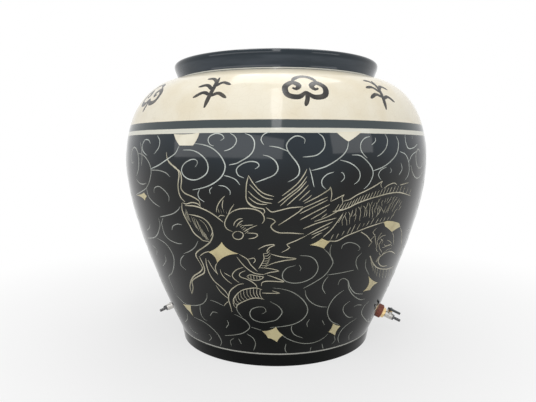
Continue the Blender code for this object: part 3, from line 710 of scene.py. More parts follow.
@dataclass(frozen=True)
class JarSizes:
    """The jar's sizes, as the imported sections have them, and how finely its outline is drawn."""

    belly_radius: float = 0.450
    belly_height: float = 0.538
    foot_radius: float = 0.291
    band_radius: float = 0.297
    band_height: float = 0.0353
    foot_edge: float = 0.003
    shoulder_radius: float = 0.2977
    shoulder_height: float = 0.7756
    rim_height: float = 0.8246
    lip_radius: float = 0.3055
    lip_edge: float = 0.009
    neck_hollow: float = 0.005
    lean_deg: float = 24.75
    shoulder_slope_deg: float = 9.1
    lower_shares: tuple[float, float] = (0.289, 0.275)
    upper_shares: tuple[float, float] = (0.493, 0.712)
    neck_shares: tuple[float, float] = (0.32, 0.30)
    wall: float = 0.018
    mouth_radius: float = 0.2725
    floor: float = 0.022
    fillet: float = 0.024
    foot_ring: float = 0.032
    foot_recess: float = 0.006
    skin: float = 0.0004
    outer_steps: int = 60
    inner_steps: int = 30
    neck_steps: int = 16
    round_steps: int = 8
    foot_steps: int = 5

    def lean(self) -> Vector:
        """The way that the wall leaves the foot, as (outwards, up)."""
        turn = math.radians(self.lean_deg)
        return Vector((math.sin(turn), math.cos(turn)))

    def run(self, low: Vector, belly: Vector, high: Vector, steps: int) -> list[Vector]:
        """A run of wall over the belly.

        Args:
            low: Its lowest point.
            belly: Its widest point, where it is upright.
            high: Its highest point.
            steps: How many steps each half gets.

        Returns:
            The points, upwards.
        """
        rise, fall, reach = belly.y - low.y, high.y - belly.y, belly.x - high.x
        slope = math.radians(self.shoulder_slope_deg)
        down = Vector((math.cos(slope), -math.sin(slope)))
        up = Vector((0, 1))
        from_foot, under_belly = self.lower_shares
        over_belly, from_top = self.upper_shares
        lower = (low + self.lean() * (from_foot * rise), belly - up * (under_belly * rise))
        upper = (belly + up * (over_belly * fall), high + down * (from_top * reach))
        return [low, *bezier(low, *lower, belly, steps), *bezier(belly, *upper, high, steps)]

    def outer(self) -> list[Vector]:
        """The outer wall from the foot band to the collar's foot.

        Returns:
            The points, upwards, a skin's depth inside the solid.
        """
        points = self.run(
            Vector((self.band_radius, self.band_height)),
            Vector((self.belly_radius, self.belly_height)),
            Vector((self.shoulder_radius, self.shoulder_height)),
            self.outer_steps,
        )
        inset = []
        for index, point in enumerate(points):
            before, after = points[max(index - 1, 0)], points[min(index + 1, len(points) - 1)]
            along = (after - before).normalized()
            inset.append(point - Vector((along.y, -along.x)) * self.skin)
        return inset

    def inner(self) -> list[Vector]:
        """The inner wall from the floor's fillet to the bottom of the mouth.

        Returns:
            The points, upwards.
        """
        inside = self.wall / math.cos(math.radians(self.lean_deg))
        return self.run(
            Vector((self.band_radius - inside, self.band_height)),
            Vector((self.belly_radius - self.wall, self.belly_height)),
            Vector((self.mouth_radius, self.shoulder_height - self.wall)),
            self.inner_steps,
        )

    def outside(self) -> list[Vector]:
        """Sole edge, foot band, outer wall, collar and rim.

        Returns:
            The points, upwards.
        """
        sole = Vector((self.foot_radius - self.foot_edge, 0))
        side = Vector((self.foot_radius, self.foot_edge))
        band = Vector((self.band_radius, self.band_height))
        foot = Vector((self.shoulder_radius, self.shoulder_height))
        lip = Vector((self.lip_radius, self.rim_height - self.lip_edge))
        rise = lip.y - foot.y
        neck = bezier(
            foot,
            foot + Vector((-self.neck_hollow, self.neck_shares[0] * rise)),
            lip - Vector((0, self.neck_shares[1] * rise)),
            lip,
            self.neck_steps,
        )
        flat = Vector((self.lip_radius - self.lip_edge, self.rim_height))
        spaces = self.foot_steps + 1
        return [
            sole,
            *quarter_round(sole, Vector((self.foot_radius, 0)), side, self.foot_steps),
            *[side.lerp(band, space / spaces) for space in range(1, spaces)],
            *self.outer(),
            *neck,
            *quarter_round(lip, Vector((self.lip_radius, self.rim_height)), flat, self.round_steps),
            Vector((self.mouth_radius + self.lip_edge, self.rim_height)),
        ]

    def inside(self) -> list[Vector]:
        """The rim's flat, the mouth, the inner wall and the floor to its middle.

        Returns:
            The points, downwards.
        """
        rim = Vector((self.mouth_radius + self.lip_edge, self.rim_height))
        mouth = Vector((self.mouth_radius, self.rim_height - self.lip_edge))
        wall = self.inner()
        corner = Vector((self.mouth_radius, self.rim_height))
        edge = Vector((wall[0].x - self.fillet, self.floor))
        knee = wall[0] - self.lean() * (wall[0].y - self.floor)
        return [
            rim,
            *quarter_round(rim, corner, mouth, self.round_steps),
            *reversed(wall),
            *bezier(wall[0], (wall[0] + knee) / 2, (edge + knee) / 2, edge, self.round_steps),
            Vector((0, self.floor)),
        ]

    def base(self) -> list[Vector]:
        """The underside over the recess and the foot ring.

        Returns:
            The points, from the axis outwards.
        """
        return [
            Vector((0, self.foot_recess)),
            Vector((self.foot_radius - self.foot_ring - self.foot_recess, self.foot_recess)),
            Vector((self.foot_radius - self.foot_ring, 0)),
            Vector((self.foot_radius - self.foot_edge, 0)),
        ]


class Wall:
    """The outer wall as a sheet that a drawing is laid on: azimuth from the front, and way up the wall."""

    def __init__(self, sizes: JarSizes) -> None:
        """Measures the outline once.

        Args:
            sizes: The jar's sizes.
        """
        self.points = sizes.outer()
        self.ways = [0.0]
        for before, after in zip(self.points, self.points[1:]):
            self.ways.append(self.ways[-1] + (after - before).length)

    def _between(self, keys: list[float], key: float) -> tuple[int, float]:
        """The step of the outline that holds a key, and the share of the step."""
        index = min(max(bisect_right(keys, key) - 1, 0), len(keys) - 2)
        return index, (key - keys[index]) / (keys[index + 1] - keys[index])

    def at_way(self, way: float) -> tuple[Vector, Vector]:
        """The wall at a way up it.

        Args:
            way: The length of outline up to there.

        Returns:
            The point (radius, height) and the normal there.
        """
        index, share = self._between(self.ways, way)
        last = len(self.points) - 1
        point = self.points[index].lerp(self.points[index + 1], share)
        turns = []
        for corner in (index, index + 1):
            along = self.points[min(corner + 1, last)] - self.points[max(corner - 1, 0)]
            turns.append(Vector((along.y, -along.x)).normalized())
        return point, turns[0].lerp(turns[1], share).normalized()

    def at_height(self, height: float) -> tuple[float, float]:
        """The wall at a height.

        Args:
            height: The height.

        Returns:
            The radius, and the way up the wall.
        """
        index, share = self._between([point.y for point in self.points], height)
        way = self.ways[index] + share * (self.ways[index + 1] - self.ways[index])
        return self.points[index].lerp(self.points[index + 1], share).x, way

    def place(self, azimuth: float, way: float, lift: float) -> Vector:
        """A place on the wall.

        Args:
            azimuth: The turn from the front.
            way: The way up the wall.
            lift: How far the place stands off the wall.

        Returns:
            The point.
        """
        point, normal = self.at_way(way)
        out = point + normal * lift
        return Vector((out.x * math.sin(azimuth), -out.x * math.cos(azimuth), out.y))


@dataclass(frozen=True)
class FrontView:
    """The camera in front of the jar, and the way from its picture back to the wall."""

    width: float = 536.0
    height: float = 402.0
    lens: float = 496.8
    sensor: float = 36.0
    down_deg: float = 5.986
    left_deg: float = 0.877
    distance: float = 1.56
    eye_height: float = 0.5763
    nearest: float = 0.95
    stride: float = 0.012
    strides: int = 60
    halvings: int = 24

    def turn(self) -> Matrix:
        """The camera's rotation."""
        tilt = Matrix.Rotation(math.pi / 2 - math.radians(self.down_deg), 3, "X")
        return Matrix.Rotation(math.radians(self.left_deg), 3, "Z") @ tilt

    def eye(self) -> Vector:
        """The camera's place."""
        return Vector((0, -self.distance, self.eye_height))

    def add_camera(self) -> None:
        """Makes the camera and gives it to the scene."""
        camera = bpy.data.cameras.new("front_camera")
        camera.sensor_fit = "HORIZONTAL"
        camera.sensor_width = self.sensor
        camera.lens = self.lens * self.sensor / self.width
        obj = bpy.data.objects.new("front_camera", camera)
        obj.matrix_world = Matrix.Translation(self.eye()) @ self.turn().to_4x4()
        bpy.context.scene.collection.objects.link(obj)
        bpy.context.scene.camera = obj

    def meet(self, wall: Wall, spot: Point) -> Point:
        """Where the line of sight through a picture point meets the wall.

        Args:
            wall: The wall.
            spot: The picture point, in pixels from the top left.

        Returns:
            Azimuth and way up the wall. A point just off the jar's edge goes to the nearest wall.
        """
        across, up = spot[0] - self.width / 2, self.height / 2 - spot[1]
        ray = self.turn() @ Vector((across / self.lens, up / self.lens, -1))
        low, high = wall.points[0].y, wall.points[-1].y

        def clear(reach: float) -> float:
            """How far outside the wall the line of sight still is."""
            at = self.eye() + ray * reach
            return math.hypot(at.x, at.y) - wall.at_height(min(max(at.z, low), high))[0]

        steps = [self.nearest + self.stride * step for step in range(self.strides)]
        near = min(steps, key=clear)
        for before, after in zip(steps, steps[1:]):
            if clear(after) <= 0:
                for _ in range(self.halvings):
                    middle = (before + after) / 2
                    before, after = (middle, after) if clear(middle) > 0 else (before, middle)
                near = after
                break
        at = self.eye() + ray * near
        return math.atan2(at.x, -at.y), wall.at_height(min(max(at.z, low), high))[1]


def along(guide: Stroke, share: float) -> Point:
    """A place on a guide.

    Args:
        guide: The guide.
        share: The share of its length.

    Returns:
        The point.
    """
    lengths = [math.dist(first, second) for first, second in zip(guide, guide[1:])]
    left = share * sum(lengths)
    for index, length in enumerate(lengths):
        if left <= length or index == len(lengths) - 1:
            (x0, y0), (x1, y1) = guide[index], guide[index + 1]
            part = left / length
            return x0 + (x1 - x0) * part, y0 + (y1 - y0) * part
        left -= length
    return guide[-1]


def hatch(
    first: Stroke, second: Stroke, count: int, lean: float = 0.0, bow: float = 0.0,
) -> tuple[Stroke, ...]:
    """Short strokes from one guide to another.

    Args:
        first: The guide that they start on.
        second: The guide that they end on.
        count: How many.
        lean: How far along the second guide they are shifted, as a share of it.
        bow: How far their middle stands off the straight line, as a share of their length.

    Returns:
        The strokes.
    """
    strokes = []
    for index in range(count):
        share = (index + 0.5) / count
        start = along(first, share)
        end = along(second, min(max(share + lean, 0.0), 1.0))
        middle = (
            (start[0] + end[0]) / 2 - (end[1] - start[1]) * bow,
            (start[1] + end[1]) / 2 + (end[0] - start[0]) * bow,
        )
        strokes.append((start, middle, end))
    return tuple(strokes)


def flow(points: list[Vector], gap: float) -> list[Vector]:
    """A smooth curve through points.

    Args:
        points: The points that it goes through.
        gap: About how far apart it is sampled.

    Returns:
        The curve's points.
    """
    if len(points) < 3:
        steps = max(int((points[-1] - points[0]).length / gap), 1)
        return [points[0].lerp(points[-1], step / steps) for step in range(steps + 1)]
    ends = [points[0] * 2 - points[1], *points, points[-1] * 2 - points[-2]]
    curve = [points[0]]
    for before, start, end, after in zip(ends, ends[1:], ends[2:], ends[3:]):
        steps = max(int((end - start).length / gap), 2)
        for step in range(1, steps + 1):
            t = step / steps
            curve.append(
                0.5 * (
                    2 * start
                    + (end - before) * t
                    + (2 * before - 5 * start + 4 * end - after) * t * t
                    + (3 * start - 3 * end - before + after) * t**3
                )
            )
    return curve


@dataclass(frozen=True)
class CutLines:
    """Lines cut with one tool."""

    name: str
    width: float
    strokes: tuple[Stroke, ...]
    taper: Taper = Taper.BOTH
    raised: float = 0.00028
    finish: SlipCut = LINE_SLIP

    def relief(self) -> float:
        """How high a line stands over half its width."""
        return self.raised / (self.width / 2)


@dataclass(frozen=True)
class Patch:
    """A field of bare slip with corners and sides that pull in between them."""

    corners: Stroke
    pulls: tuple[float, ...]
    side_steps: int = 8

    def outline(self) -> Stroke:
        """Goes round the field.

        Returns:
            The points round it.
        """
        across, down = zip(*self.corners)
        middle = Vector((sum(across), sum(down))) / len(self.corners)
        points = []
        for index, corner in enumerate(self.corners):
            start, end = Vector(corner), Vector(self.corners[(index + 1) % len(self.corners)])
            halfway = (start + end) / 2
            inwards = (middle - halfway).normalized() * ((end - start).length * self.pulls[index] * 2)
            handle = halfway + inwards
            for step in range(self.side_steps):
                t = step / self.side_steps
                at = start * (1 - t) ** 2 + handle * (2 * t * (1 - t)) + end * t**2
                points.append((at.x, at.y))
        return tuple(points)


@dataclass(frozen=True)
class Decorator:
    """Lays cut lines and bare fields on the wall, from the view that the drawing is given in."""

    wall: Wall
    view: FrontView
    line_gap: float = 0.0045
    slimmest: float = 0.72
    boldening: float = 0.28
    bold_reach: float = 0.09
    boldest: float = 1.12
    taper_share: float = 0.22
    tip: float = 0.34
    swell: float = 0.66
    field_gap: float = 0.009
    field_depth: float = 0.00022
    lift: float = 0.00004

    def seen(self, strokes: tuple[Stroke, ...]) -> list[Stroke]:
        """Picture strokes as (azimuth, way) strokes."""
        return [tuple(self.view.meet(self.wall, spot) for spot in stroke) for stroke in strokes]

    def _wrap(self, work: bmesh.types.BMesh, radius: float, relief: float) -> None:
        """Moves a flat drawing onto the wall.

        Args:
            work: The drawing, with x across, y up the wall and z off it.
            radius: The wall's radius that x is laid out on.
            relief: What its height over the sheet is scaled by.
        """
        for vert in work.verts:
            across, up, out = vert.co
            vert.co = self.wall.place(across / radius, up, out * relief + self.lift)

    def _radius(self, stroke: Stroke) -> float:
        """The wall's radius at the middle of a stroke."""
        return self.wall.at_way(sum(way for _, way in stroke) / len(stroke))[0].x

    def lines(self, cut: CutLines, strokes: list[Stroke], turn: float = 0.0) -> bpy.types.Mesh:
        """One mesh of cut lines.

        Args:
            cut: The tool.
            strokes: The strokes as azimuths and ways.
            turn: How far the drawing is turned round the jar.

        Returns:
            The lines on the wall.
        """
        whole = bmesh.new()
        for stroke in strokes:
            radius = self._radius(stroke)
            sheet = [Vector(((azimuth + turn) * radius, way, 0)) for azimuth, way in stroke]
            points = flow(sheet, self.line_gap)
            curve = bpy.data.curves.new(cut.name, "CURVE")
            curve.dimensions = "3D"
            curve.twist_mode = "Z_UP"
            reach = sum((after - before).length for before, after in zip(points, points[1:]))
            bold = min(self.slimmest + self.boldening * reach / self.bold_reach, self.boldest)
            curve.bevel_depth = cut.width / 2 * bold
            curve.bevel_resolution = 0
            curve.use_fill_caps = True
            spline = curve.splines.new("POLY")
            last = len(points) - 1
            spline.points.add(last)
            for index, (point, made) in enumerate(zip(spline.points, points)):
                share = index / last
                fade = min(
                    share / self.taper_share if cut.taper.value[0] else 1.0,
                    (1 - share) / self.taper_share if cut.taper.value[1] else 1.0,
                    1.0,
                )
                point.co = (*made, 1.0)
                point.radius = self.tip + self.swell * math.sin(fade * math.pi / 2)
            mesh = evaluated(bpy.data.objects.new(cut.name, curve))
            part = bmesh.new()
            part.from_mesh(mesh)
            self._wrap(part, radius, cut.relief())
            part.to_mesh(mesh)
            part.free()
            whole.from_mesh(mesh)
            bpy.data.meshes.remove(mesh)
            bpy.data.curves.remove(curve)
        bmesh.ops.remove_doubles(whole, verts=whole.verts, dist=MERGE)
        bmesh.ops.recalc_face_normals(whole, faces=whole.faces)
        return mesh_of(whole, cut.name)

    def field(self, name: str, outlines: list[Stroke], turn: float = 0.0) -> bpy.types.Mesh:
        """One mesh of bare slip fields, a fraction of a millimetre thick.

        Args:
            name: The mesh's name.
            outlines: The outlines as azimuths and ways.
            turn: How far the drawing is turned round the jar.

        Returns:
            The fields on the wall.
        """
        whole = bmesh.new()
        for outline in outlines:
            radius = self._radius(outline)
            curve = bpy.data.curves.new(name, "CURVE")
            curve.dimensions = "2D"
            curve.fill_mode = "BOTH"
            curve.extrude = self.field_depth
            spline = curve.splines.new("POLY")
            spline.use_cyclic_u = True
            spline.points.add(len(outline) - 1)
            for point, (azimuth, way) in zip(spline.points, outline):
                point.co = ((azimuth + turn) * radius, way, 0, 1.0)
            mesh = evaluated(bpy.data.objects.new(name, curve))
            part = bmesh.new()
            part.from_mesh(mesh)
            bmesh.ops.remove_doubles(part, verts=part.verts, dist=MERGE)
            for axis in range(2):
                places = [vert.co[axis] for vert in part.verts]
                normal = Vector((1 - axis, axis, 0))
                for step in range(1, int((max(places) - min(places)) / self.field_gap) + 1):
                    spot = normal * (min(places) + step * self.field_gap)
                    geom = [*part.verts, *part.edges, *part.faces]
                    bmesh.ops.bisect_plane(part, geom=geom, dist=MERGE, plane_co=spot, plane_no=normal)
            self._wrap(part, radius, 1.0)
            part.to_mesh(mesh)
            part.free()
            whole.from_mesh(mesh)
            bpy.data.meshes.remove(mesh)
            bpy.data.curves.remove(curve)
        bmesh.ops.recalc_face_normals(whole, faces=whole.faces)
        return mesh_of(whole, name)


def strokes(*trails: tuple[float, ...]) -> tuple[Stroke, ...]:
    """Strokes from runs of x and y.

    Args:
        trails: One run for each stroke. The pattern's runs are pixels of the front view, down from its
            top left corner, and the motifs' go from -1 to 1 across and up.

    Returns:
        The strokes.
    """
    return tuple(tuple(zip(trail[::2], trail[1::2])) for trail in trails)


CLOUDS_UPPER_LEFT = strokes(
    (157.5, 135.5, 159.8, 141, 158.5, 148, 154, 154),
    (150.5, 143.5, 148.5, 140, 145, 140, 142.5, 145, 143, 151, 147, 155.5),
    (179, 146, 175.5, 153, 169, 158, 164, 161.5, 158, 165.5, 150.5, 169),
    (194, 143.5, 202, 144.5, 211, 147.5, 219, 154, 224, 162, 225, 168, 222, 176, 214, 183, 204, 187.5,
     192.5, 190),
    (195, 167, 197.5, 163, 195.5, 159.5, 190, 160, 184, 164, 181.5, 170, 184, 176, 190, 179.5, 197, 179.5,
     205, 175, 208, 169, 206.5, 161, 200, 154, 192, 150.3, 183, 150),
    (220.5, 140.5, 224, 138, 221.5, 134.5, 216, 133.5, 210, 136, 208, 140, 210, 144.5, 214, 146),
    (230, 133, 235, 136.5, 236.5, 141, 234, 146, 229, 149.5, 224, 151),
    (245, 133.5, 251, 136, 254.5, 142, 253.5, 150, 249, 156, 241, 161, 236, 163.5, 229, 165),
    (224, 175.5, 230, 177, 236, 180, 240, 185),
    (200, 189, 198, 193, 199, 198, 204.5, 202),
    (212, 187.5, 209.5, 190, 210.5, 194),
    (218.5, 185.5, 225, 186.5, 230, 191, 230, 195),
    (255, 169, 259, 166, 257, 162.5, 250, 161.5, 242, 164, 236.5, 169, 238, 175, 244, 178),
    (255.5, 182.5, 265, 179, 274, 175, 278, 169, 276, 162, 270, 157, 263, 155),
    (269.5, 131.5, 263, 135, 261, 140, 264, 145),
    (269, 146, 276, 147, 280, 148, 288, 151.5, 292, 156.5),
)
CLOUDS_LEFT = strokes(
    (137.5, 153, 143, 155, 148, 161, 151, 169, 150.5, 177, 148, 185, 144, 190, 136, 195),
    (150.5, 170, 159, 170.5, 166, 173, 170, 177),
    (146.5, 186, 148, 195, 153, 202, 160, 207),
    (154, 193, 154.5, 188, 159, 186.5, 165, 191, 169, 197, 168.5, 201.5),
    (180, 206.5, 178, 210, 172, 214, 160, 217),
    (163, 218, 161.5, 223, 162, 225, 164.5, 234, 170, 240, 178, 243.5, 182, 243.5),
    (172, 230, 173, 226, 178, 224, 182, 225),
    (158.5, 218, 160, 224, 159.5, 228, 157, 235, 152, 238, 144, 237),
    (150, 224, 149.5, 228, 147, 230.5),
    (152.5, 245.5, 156.5, 249, 157, 255),
    (148, 247, 149, 254, 153, 262),
    (165, 255, 166, 261, 163, 266),
    (157, 238, 166, 244, 173, 255, 174, 265, 172, 273, 169, 276, 170, 281, 174, 290),
    (198, 241, 195, 247, 190, 251, 184, 253.5),
    (184, 255, 181, 259, 181, 265, 186, 270),
)
CLOUDS_UPPER_RIGHT = strokes(
    (304.5, 143.5, 305, 139.5, 301, 136.5, 295, 136.2, 289.5, 140, 286.5, 145, 288, 151, 292, 156.5,
     297, 163, 299.5, 169, 298.5, 175, 294, 179, 288, 182),
    (318, 133, 323, 137, 325, 144, 323, 150, 317, 155, 310, 156.5, 303, 157),
    (348.5, 141.5, 347.5, 148, 344, 154, 337, 160, 327, 166, 318, 169, 311.5, 170.5),
    (309.5, 168, 311.5, 175, 314, 187),
    (341, 182, 344.5, 178, 343.5, 173.5, 341, 172.5),
    (334, 172, 327, 174.5, 322, 180, 322.5, 186, 326, 189),
    (340, 160, 349, 162.5, 356, 167, 360, 173, 359, 180, 354, 184.5),
    (352, 155, 360, 155.5, 367, 161, 372, 168, 373, 175, 369, 184, 364, 189),
    (371.5, 145, 375.5, 141, 375, 137.5),
    (370, 136.5, 365, 138, 361, 143, 361, 150, 365, 156, 367.5, 158),
    (385, 134, 387.5, 140, 386, 148, 381, 154, 377, 156.5),
    (396, 136, 398.5, 143, 397, 153, 391, 161, 383, 167, 373, 171),
    (405, 134, 405.5, 141, 408, 148, 413, 148, 417.5, 144),
    (412, 135, 412.5, 139),
    (417, 151, 412, 155, 409, 162),
    (386.5, 167, 381, 170, 378.5, 175, 381, 180),
    (390.5, 168, 391.5, 171, 390, 173),
    (401, 163, 402, 169, 399, 175),
    (400, 151.5, 406, 155, 409, 164, 408.5, 174, 405, 180),
)
CLOUDS_LOWER_LEFT = strokes(
    (207, 293, 206.5, 299, 202, 304, 194, 305.5, 186, 304, 180, 299, 175, 293),
    (200, 305, 200.5, 312, 203, 318, 207, 321),
    (187, 313, 187.5, 319, 185, 322),
    (210, 300, 216, 302, 224, 306),
    (210, 316, 213, 312, 218, 313),
    (227, 320, 228.5, 324, 226, 328),
    (234, 314, 242, 318, 248, 323, 249.5, 328, 243, 333, 234, 335, 225, 335.5),
    (194, 317, 204, 322, 213, 329, 219, 336, 221.5, 342, 220.5, 346),
    (189, 325, 192, 330, 198, 334),
    (209, 334, 211.5, 338, 209, 341),
    (247, 334, 253, 338, 255.5, 344, 253.5, 350.5),
    (234, 338, 230.5, 341, 231.5, 346),
    (238.5, 338.5, 241.5, 344),
    (262, 314, 266, 311.5, 264, 307.5, 258, 307, 251.5, 309.5, 250, 315, 254, 320, 263, 322.5, 270, 321.5,
     276, 320, 281, 315, 282, 311, 278, 306, 270, 301.5),
    (237, 303, 237, 310, 242, 317),
    (251, 327, 262, 330.5),
)
CLOUDS_LOWER_RIGHT = strokes(
    (300, 271, 301, 268, 299, 265),
    (295.5, 265.5, 287, 268, 282.5, 274, 284, 280, 292, 283, 303, 282, 313, 277, 318, 269, 316, 261,
     310, 256.5, 300, 255.5),
    (324, 249, 329, 254, 333, 262, 329, 270, 324, 276, 315, 282, 303, 288.5),
    (331.5, 244.5, 330, 251, 331, 257, 333, 262),
    (327, 275, 340, 273, 354, 270),
    (328.5, 276, 324, 282, 322.5, 288, 325.5, 294),
    (341.5, 249, 343, 245, 349, 242.5, 356, 244, 360, 248, 358, 251),
    (361.5, 253, 357, 258, 356, 264, 358, 270),
    (305, 290, 306.5, 297, 312, 303, 320, 306.5, 327, 307),
    (273, 288, 282, 289, 292, 292, 301, 298, 306.5, 305, 307.5, 312, 303, 319, 294, 324, 282, 326.5,
     270, 327.5),
    (344, 290, 336, 296, 330, 304, 327.5, 313, 331, 321, 339, 325),
    (338, 285, 340, 280, 344, 278.5, 348, 281, 350, 287, 355, 293, 363, 294),
    (348, 281, 349, 289, 354, 296, 360, 299.5, 365, 299),
    (350, 301, 344, 306, 343.5, 312, 348, 317, 353, 317),
    (354, 307, 357, 305, 362, 305),
    (369, 301, 363, 308, 362, 315, 367, 322),
    (292, 325, 291.5, 330, 295, 335, 303, 338),
    (309.5, 319.5, 307, 323, 307.5, 327),
    (322, 320, 324.5, 325),
    (281, 334, 288, 339, 300, 343, 312, 343, 322, 339, 328, 334),
    (286, 344, 285, 349, 286.5, 353),
    (322, 344, 323, 349),
    (311, 347, 310, 351),
    (334, 336, 335, 340, 332, 344),
    (357, 318, 348, 324, 341, 331, 338, 338, 339, 343),
    (353, 331, 349, 335, 349, 340),
    (366, 259, 365.5, 267, 369, 275),
)
DRAGON_WHISKERS = strokes(
    (166.5, 152.5, 167, 158, 170, 163.5, 176, 168, 179, 174, 178, 186, 180, 196, 185, 202),
    (168, 160, 174, 167, 180, 172, 181.5, 180, 181, 188, 184.5, 193, 192, 196.5, 199, 201, 200, 206),
    (182.5, 202.5, 186, 204, 192, 202.5, 198, 204, 200.5, 207),
    (212, 230, 213, 235, 210, 242, 204, 247, 197, 252, 196, 256, 200, 263),
    (199, 256, 203, 264, 204.5, 269, 204, 273, 199, 276, 194, 279, 192, 282, 193, 287, 192.5, 293),
    (200, 263, 202.5, 268, 200, 272, 194, 276, 191, 281, 190, 287, 192, 294),
    (209, 251.5, 204, 253, 200, 256),
)
EAR_EDGE = strokes(
    (182, 203, 182, 209, 184.5, 216, 190, 226, 194, 233, 200, 238, 203, 240.5, 209, 241.5),
    (185, 205.5, 194, 206, 202, 208.5, 211, 213, 218, 218, 223.3, 222.4),
    (188.6, 214.3, 195.7, 215.7, 203.6, 218.6, 209.3, 224.3, 212.4, 231.4, 210.7, 236.4),
)
HEAD = strokes(
    (224.7, 196, 219.7, 201.7, 216.9, 207.4, 216.5, 212.4),
    (223.3, 199.6, 222.2, 204.6, 222.6, 208.9),
    (234, 204.2, 230.4, 209.6, 228.3, 214.6, 225.4, 220.3, 224.7, 224.6, 226.9, 228.9, 232.6, 231.7),
    (228.6, 214.6, 232.6, 211.4, 239.7, 208.9, 248.3, 208.5, 255.4, 209.6, 261.1, 212.4, 264, 216.7,
     264, 221, 261.9, 223.5),
    (218.3, 217.4, 220.4, 215.3, 224.7, 216),
    (233.6, 226, 234.7, 222.4, 238.3, 219.2, 242.6, 218.5),
    (243, 220.6, 239.7, 222.4, 236, 227.4),
    (243.3, 225.6, 253.3, 224.9),
    (257.2, 225.3, 250.4, 228, 244, 231.7),
    (238, 231.2, 241.8, 232.4, 243.4, 235.3, 241.6, 238.4, 238, 239.5, 234.4, 238.3, 232.6, 235.3,
     234.4, 232.3, 238, 231.2),
    (246.9, 233, 255.4, 233.5, 257.6, 235.3, 254.7, 237.8, 248.3, 238.9),
    (266.5, 218, 271.9, 218.9, 275.4, 221.7, 271.9, 224.6, 271, 227.4, 274, 230.6, 279.7, 232.8, 289.7, 233,
     304, 233.9),
    (306.9, 235.3, 296.9, 240.3, 286.9, 244.6, 289.7, 247.4, 286, 250.3, 281.5, 252.4),
    (258.3, 249.2, 264.7, 246, 271.9, 244.6, 274.7, 245.3, 269.7, 247.4, 266.9, 251, 268.3, 253),
    (266, 207.4, 268.3, 209.6, 271.9, 212, 279, 210.6, 289.7, 208, 303.3, 206.7),
    (304, 207.4, 299, 211.7, 289.7, 218, 278.3, 225.3),
)
HEAD_HAIRS = strokes(
    (218.3, 208.9, 219, 213),
    (220.8, 209.6, 221.5, 213),
    (223.3, 209.2, 224, 212.4),
    (226, 211, 226.9, 213.5),
)
MANE = strokes(
    (248.5, 175.5, 246.5, 184, 246, 193, 246.5, 200, 250, 205, 256, 208.5),
    (248.5, 175.5, 253, 183, 259, 190, 265, 194, 274, 196.5),
    (249.5, 184.5, 254, 189, 259, 194, 265, 198, 273, 199.5),
    (248, 191, 252, 195, 257, 199, 263, 202, 272, 203.5),
    (248.5, 197, 253, 201, 259, 204, 267, 204.5),
    (245.4, 196, 246.9, 201, 252.6, 206, 258.3, 208, 263.3, 208.9, 264.7, 211.7, 263.3, 213.9),
    (307, 169, 304, 175, 298, 183, 290, 190, 282, 196),
    (307, 176.5, 300, 186, 290, 194, 278, 203),
    (306.5, 181.5, 299, 190, 290, 197, 280, 206),
    (308.5, 185, 301, 193, 293, 200, 287, 205.5),
    (310, 190.5, 304, 196, 299, 200.5),
    (311.8, 194.8, 308, 198.5, 302.9, 201.6),
    (300, 209.4, 327.9, 196.9),
    (300, 213.7, 314.3, 206.6, 327.9, 199.8),
    (300, 220, 314.3, 212.3, 330, 204.4),
    (310.7, 219.4, 320.7, 213.7, 327, 209.4),
    (314.3, 221.6, 327, 217, 340, 209.8, 343, 209),
    (321.4, 218, 327, 213.7),
    (302.9, 229, 317.9, 223, 336.4, 218),
    (307, 235, 320, 228, 333, 221.6),
    (311.4, 235, 320.7, 230.9, 329.3, 226.6),
    (311.4, 238.7, 317, 235, 322, 232.6),
    (322.9, 237.3, 331.4, 229.4, 337.9, 220.9, 342.9, 213.7),
)
BACK_FLAMES = strokes(
    (304.3, 203.4, 317.9, 196.6, 329.3, 189.4, 330.4, 186.9, 331.8, 193.7, 330.7, 201.6),
    (331.4, 201.2, 340, 196.9, 344.3, 194.8, 342, 198, 342.9, 201.6, 342, 205),
    (343.6, 201.2, 350, 199.4, 357, 195, 365.7, 190.9, 375, 185.9, 382.5, 181.2, 380.7, 184.4, 382, 188),
    (383.6, 188.7, 388.6, 185, 394.3, 183, 397, 185),
    (400, 185, 408.6, 182.6),
)
RIDGE = strokes(
    (332.9, 211.6, 342.9, 209.8, 350, 207, 357, 203.4, 367.9, 199.4, 378.6, 196.2, 389.3, 193.4, 400, 192.6,
     410.7, 195.9),
)
RIDGE_TOP = strokes(
    (336.5, 204.6, 346.4, 202.8, 353.5, 200, 360.5, 196.4, 371.4, 192.4, 382.1, 189.2, 392.8, 186.4,
     403.5, 185.6, 412, 188.9),
)
BELLY = strokes(
    (328.6, 241, 337, 240.9, 346.4, 235.9, 357, 231.6, 367.9, 227.3, 378.6, 223.7, 384.3, 222.3),
)
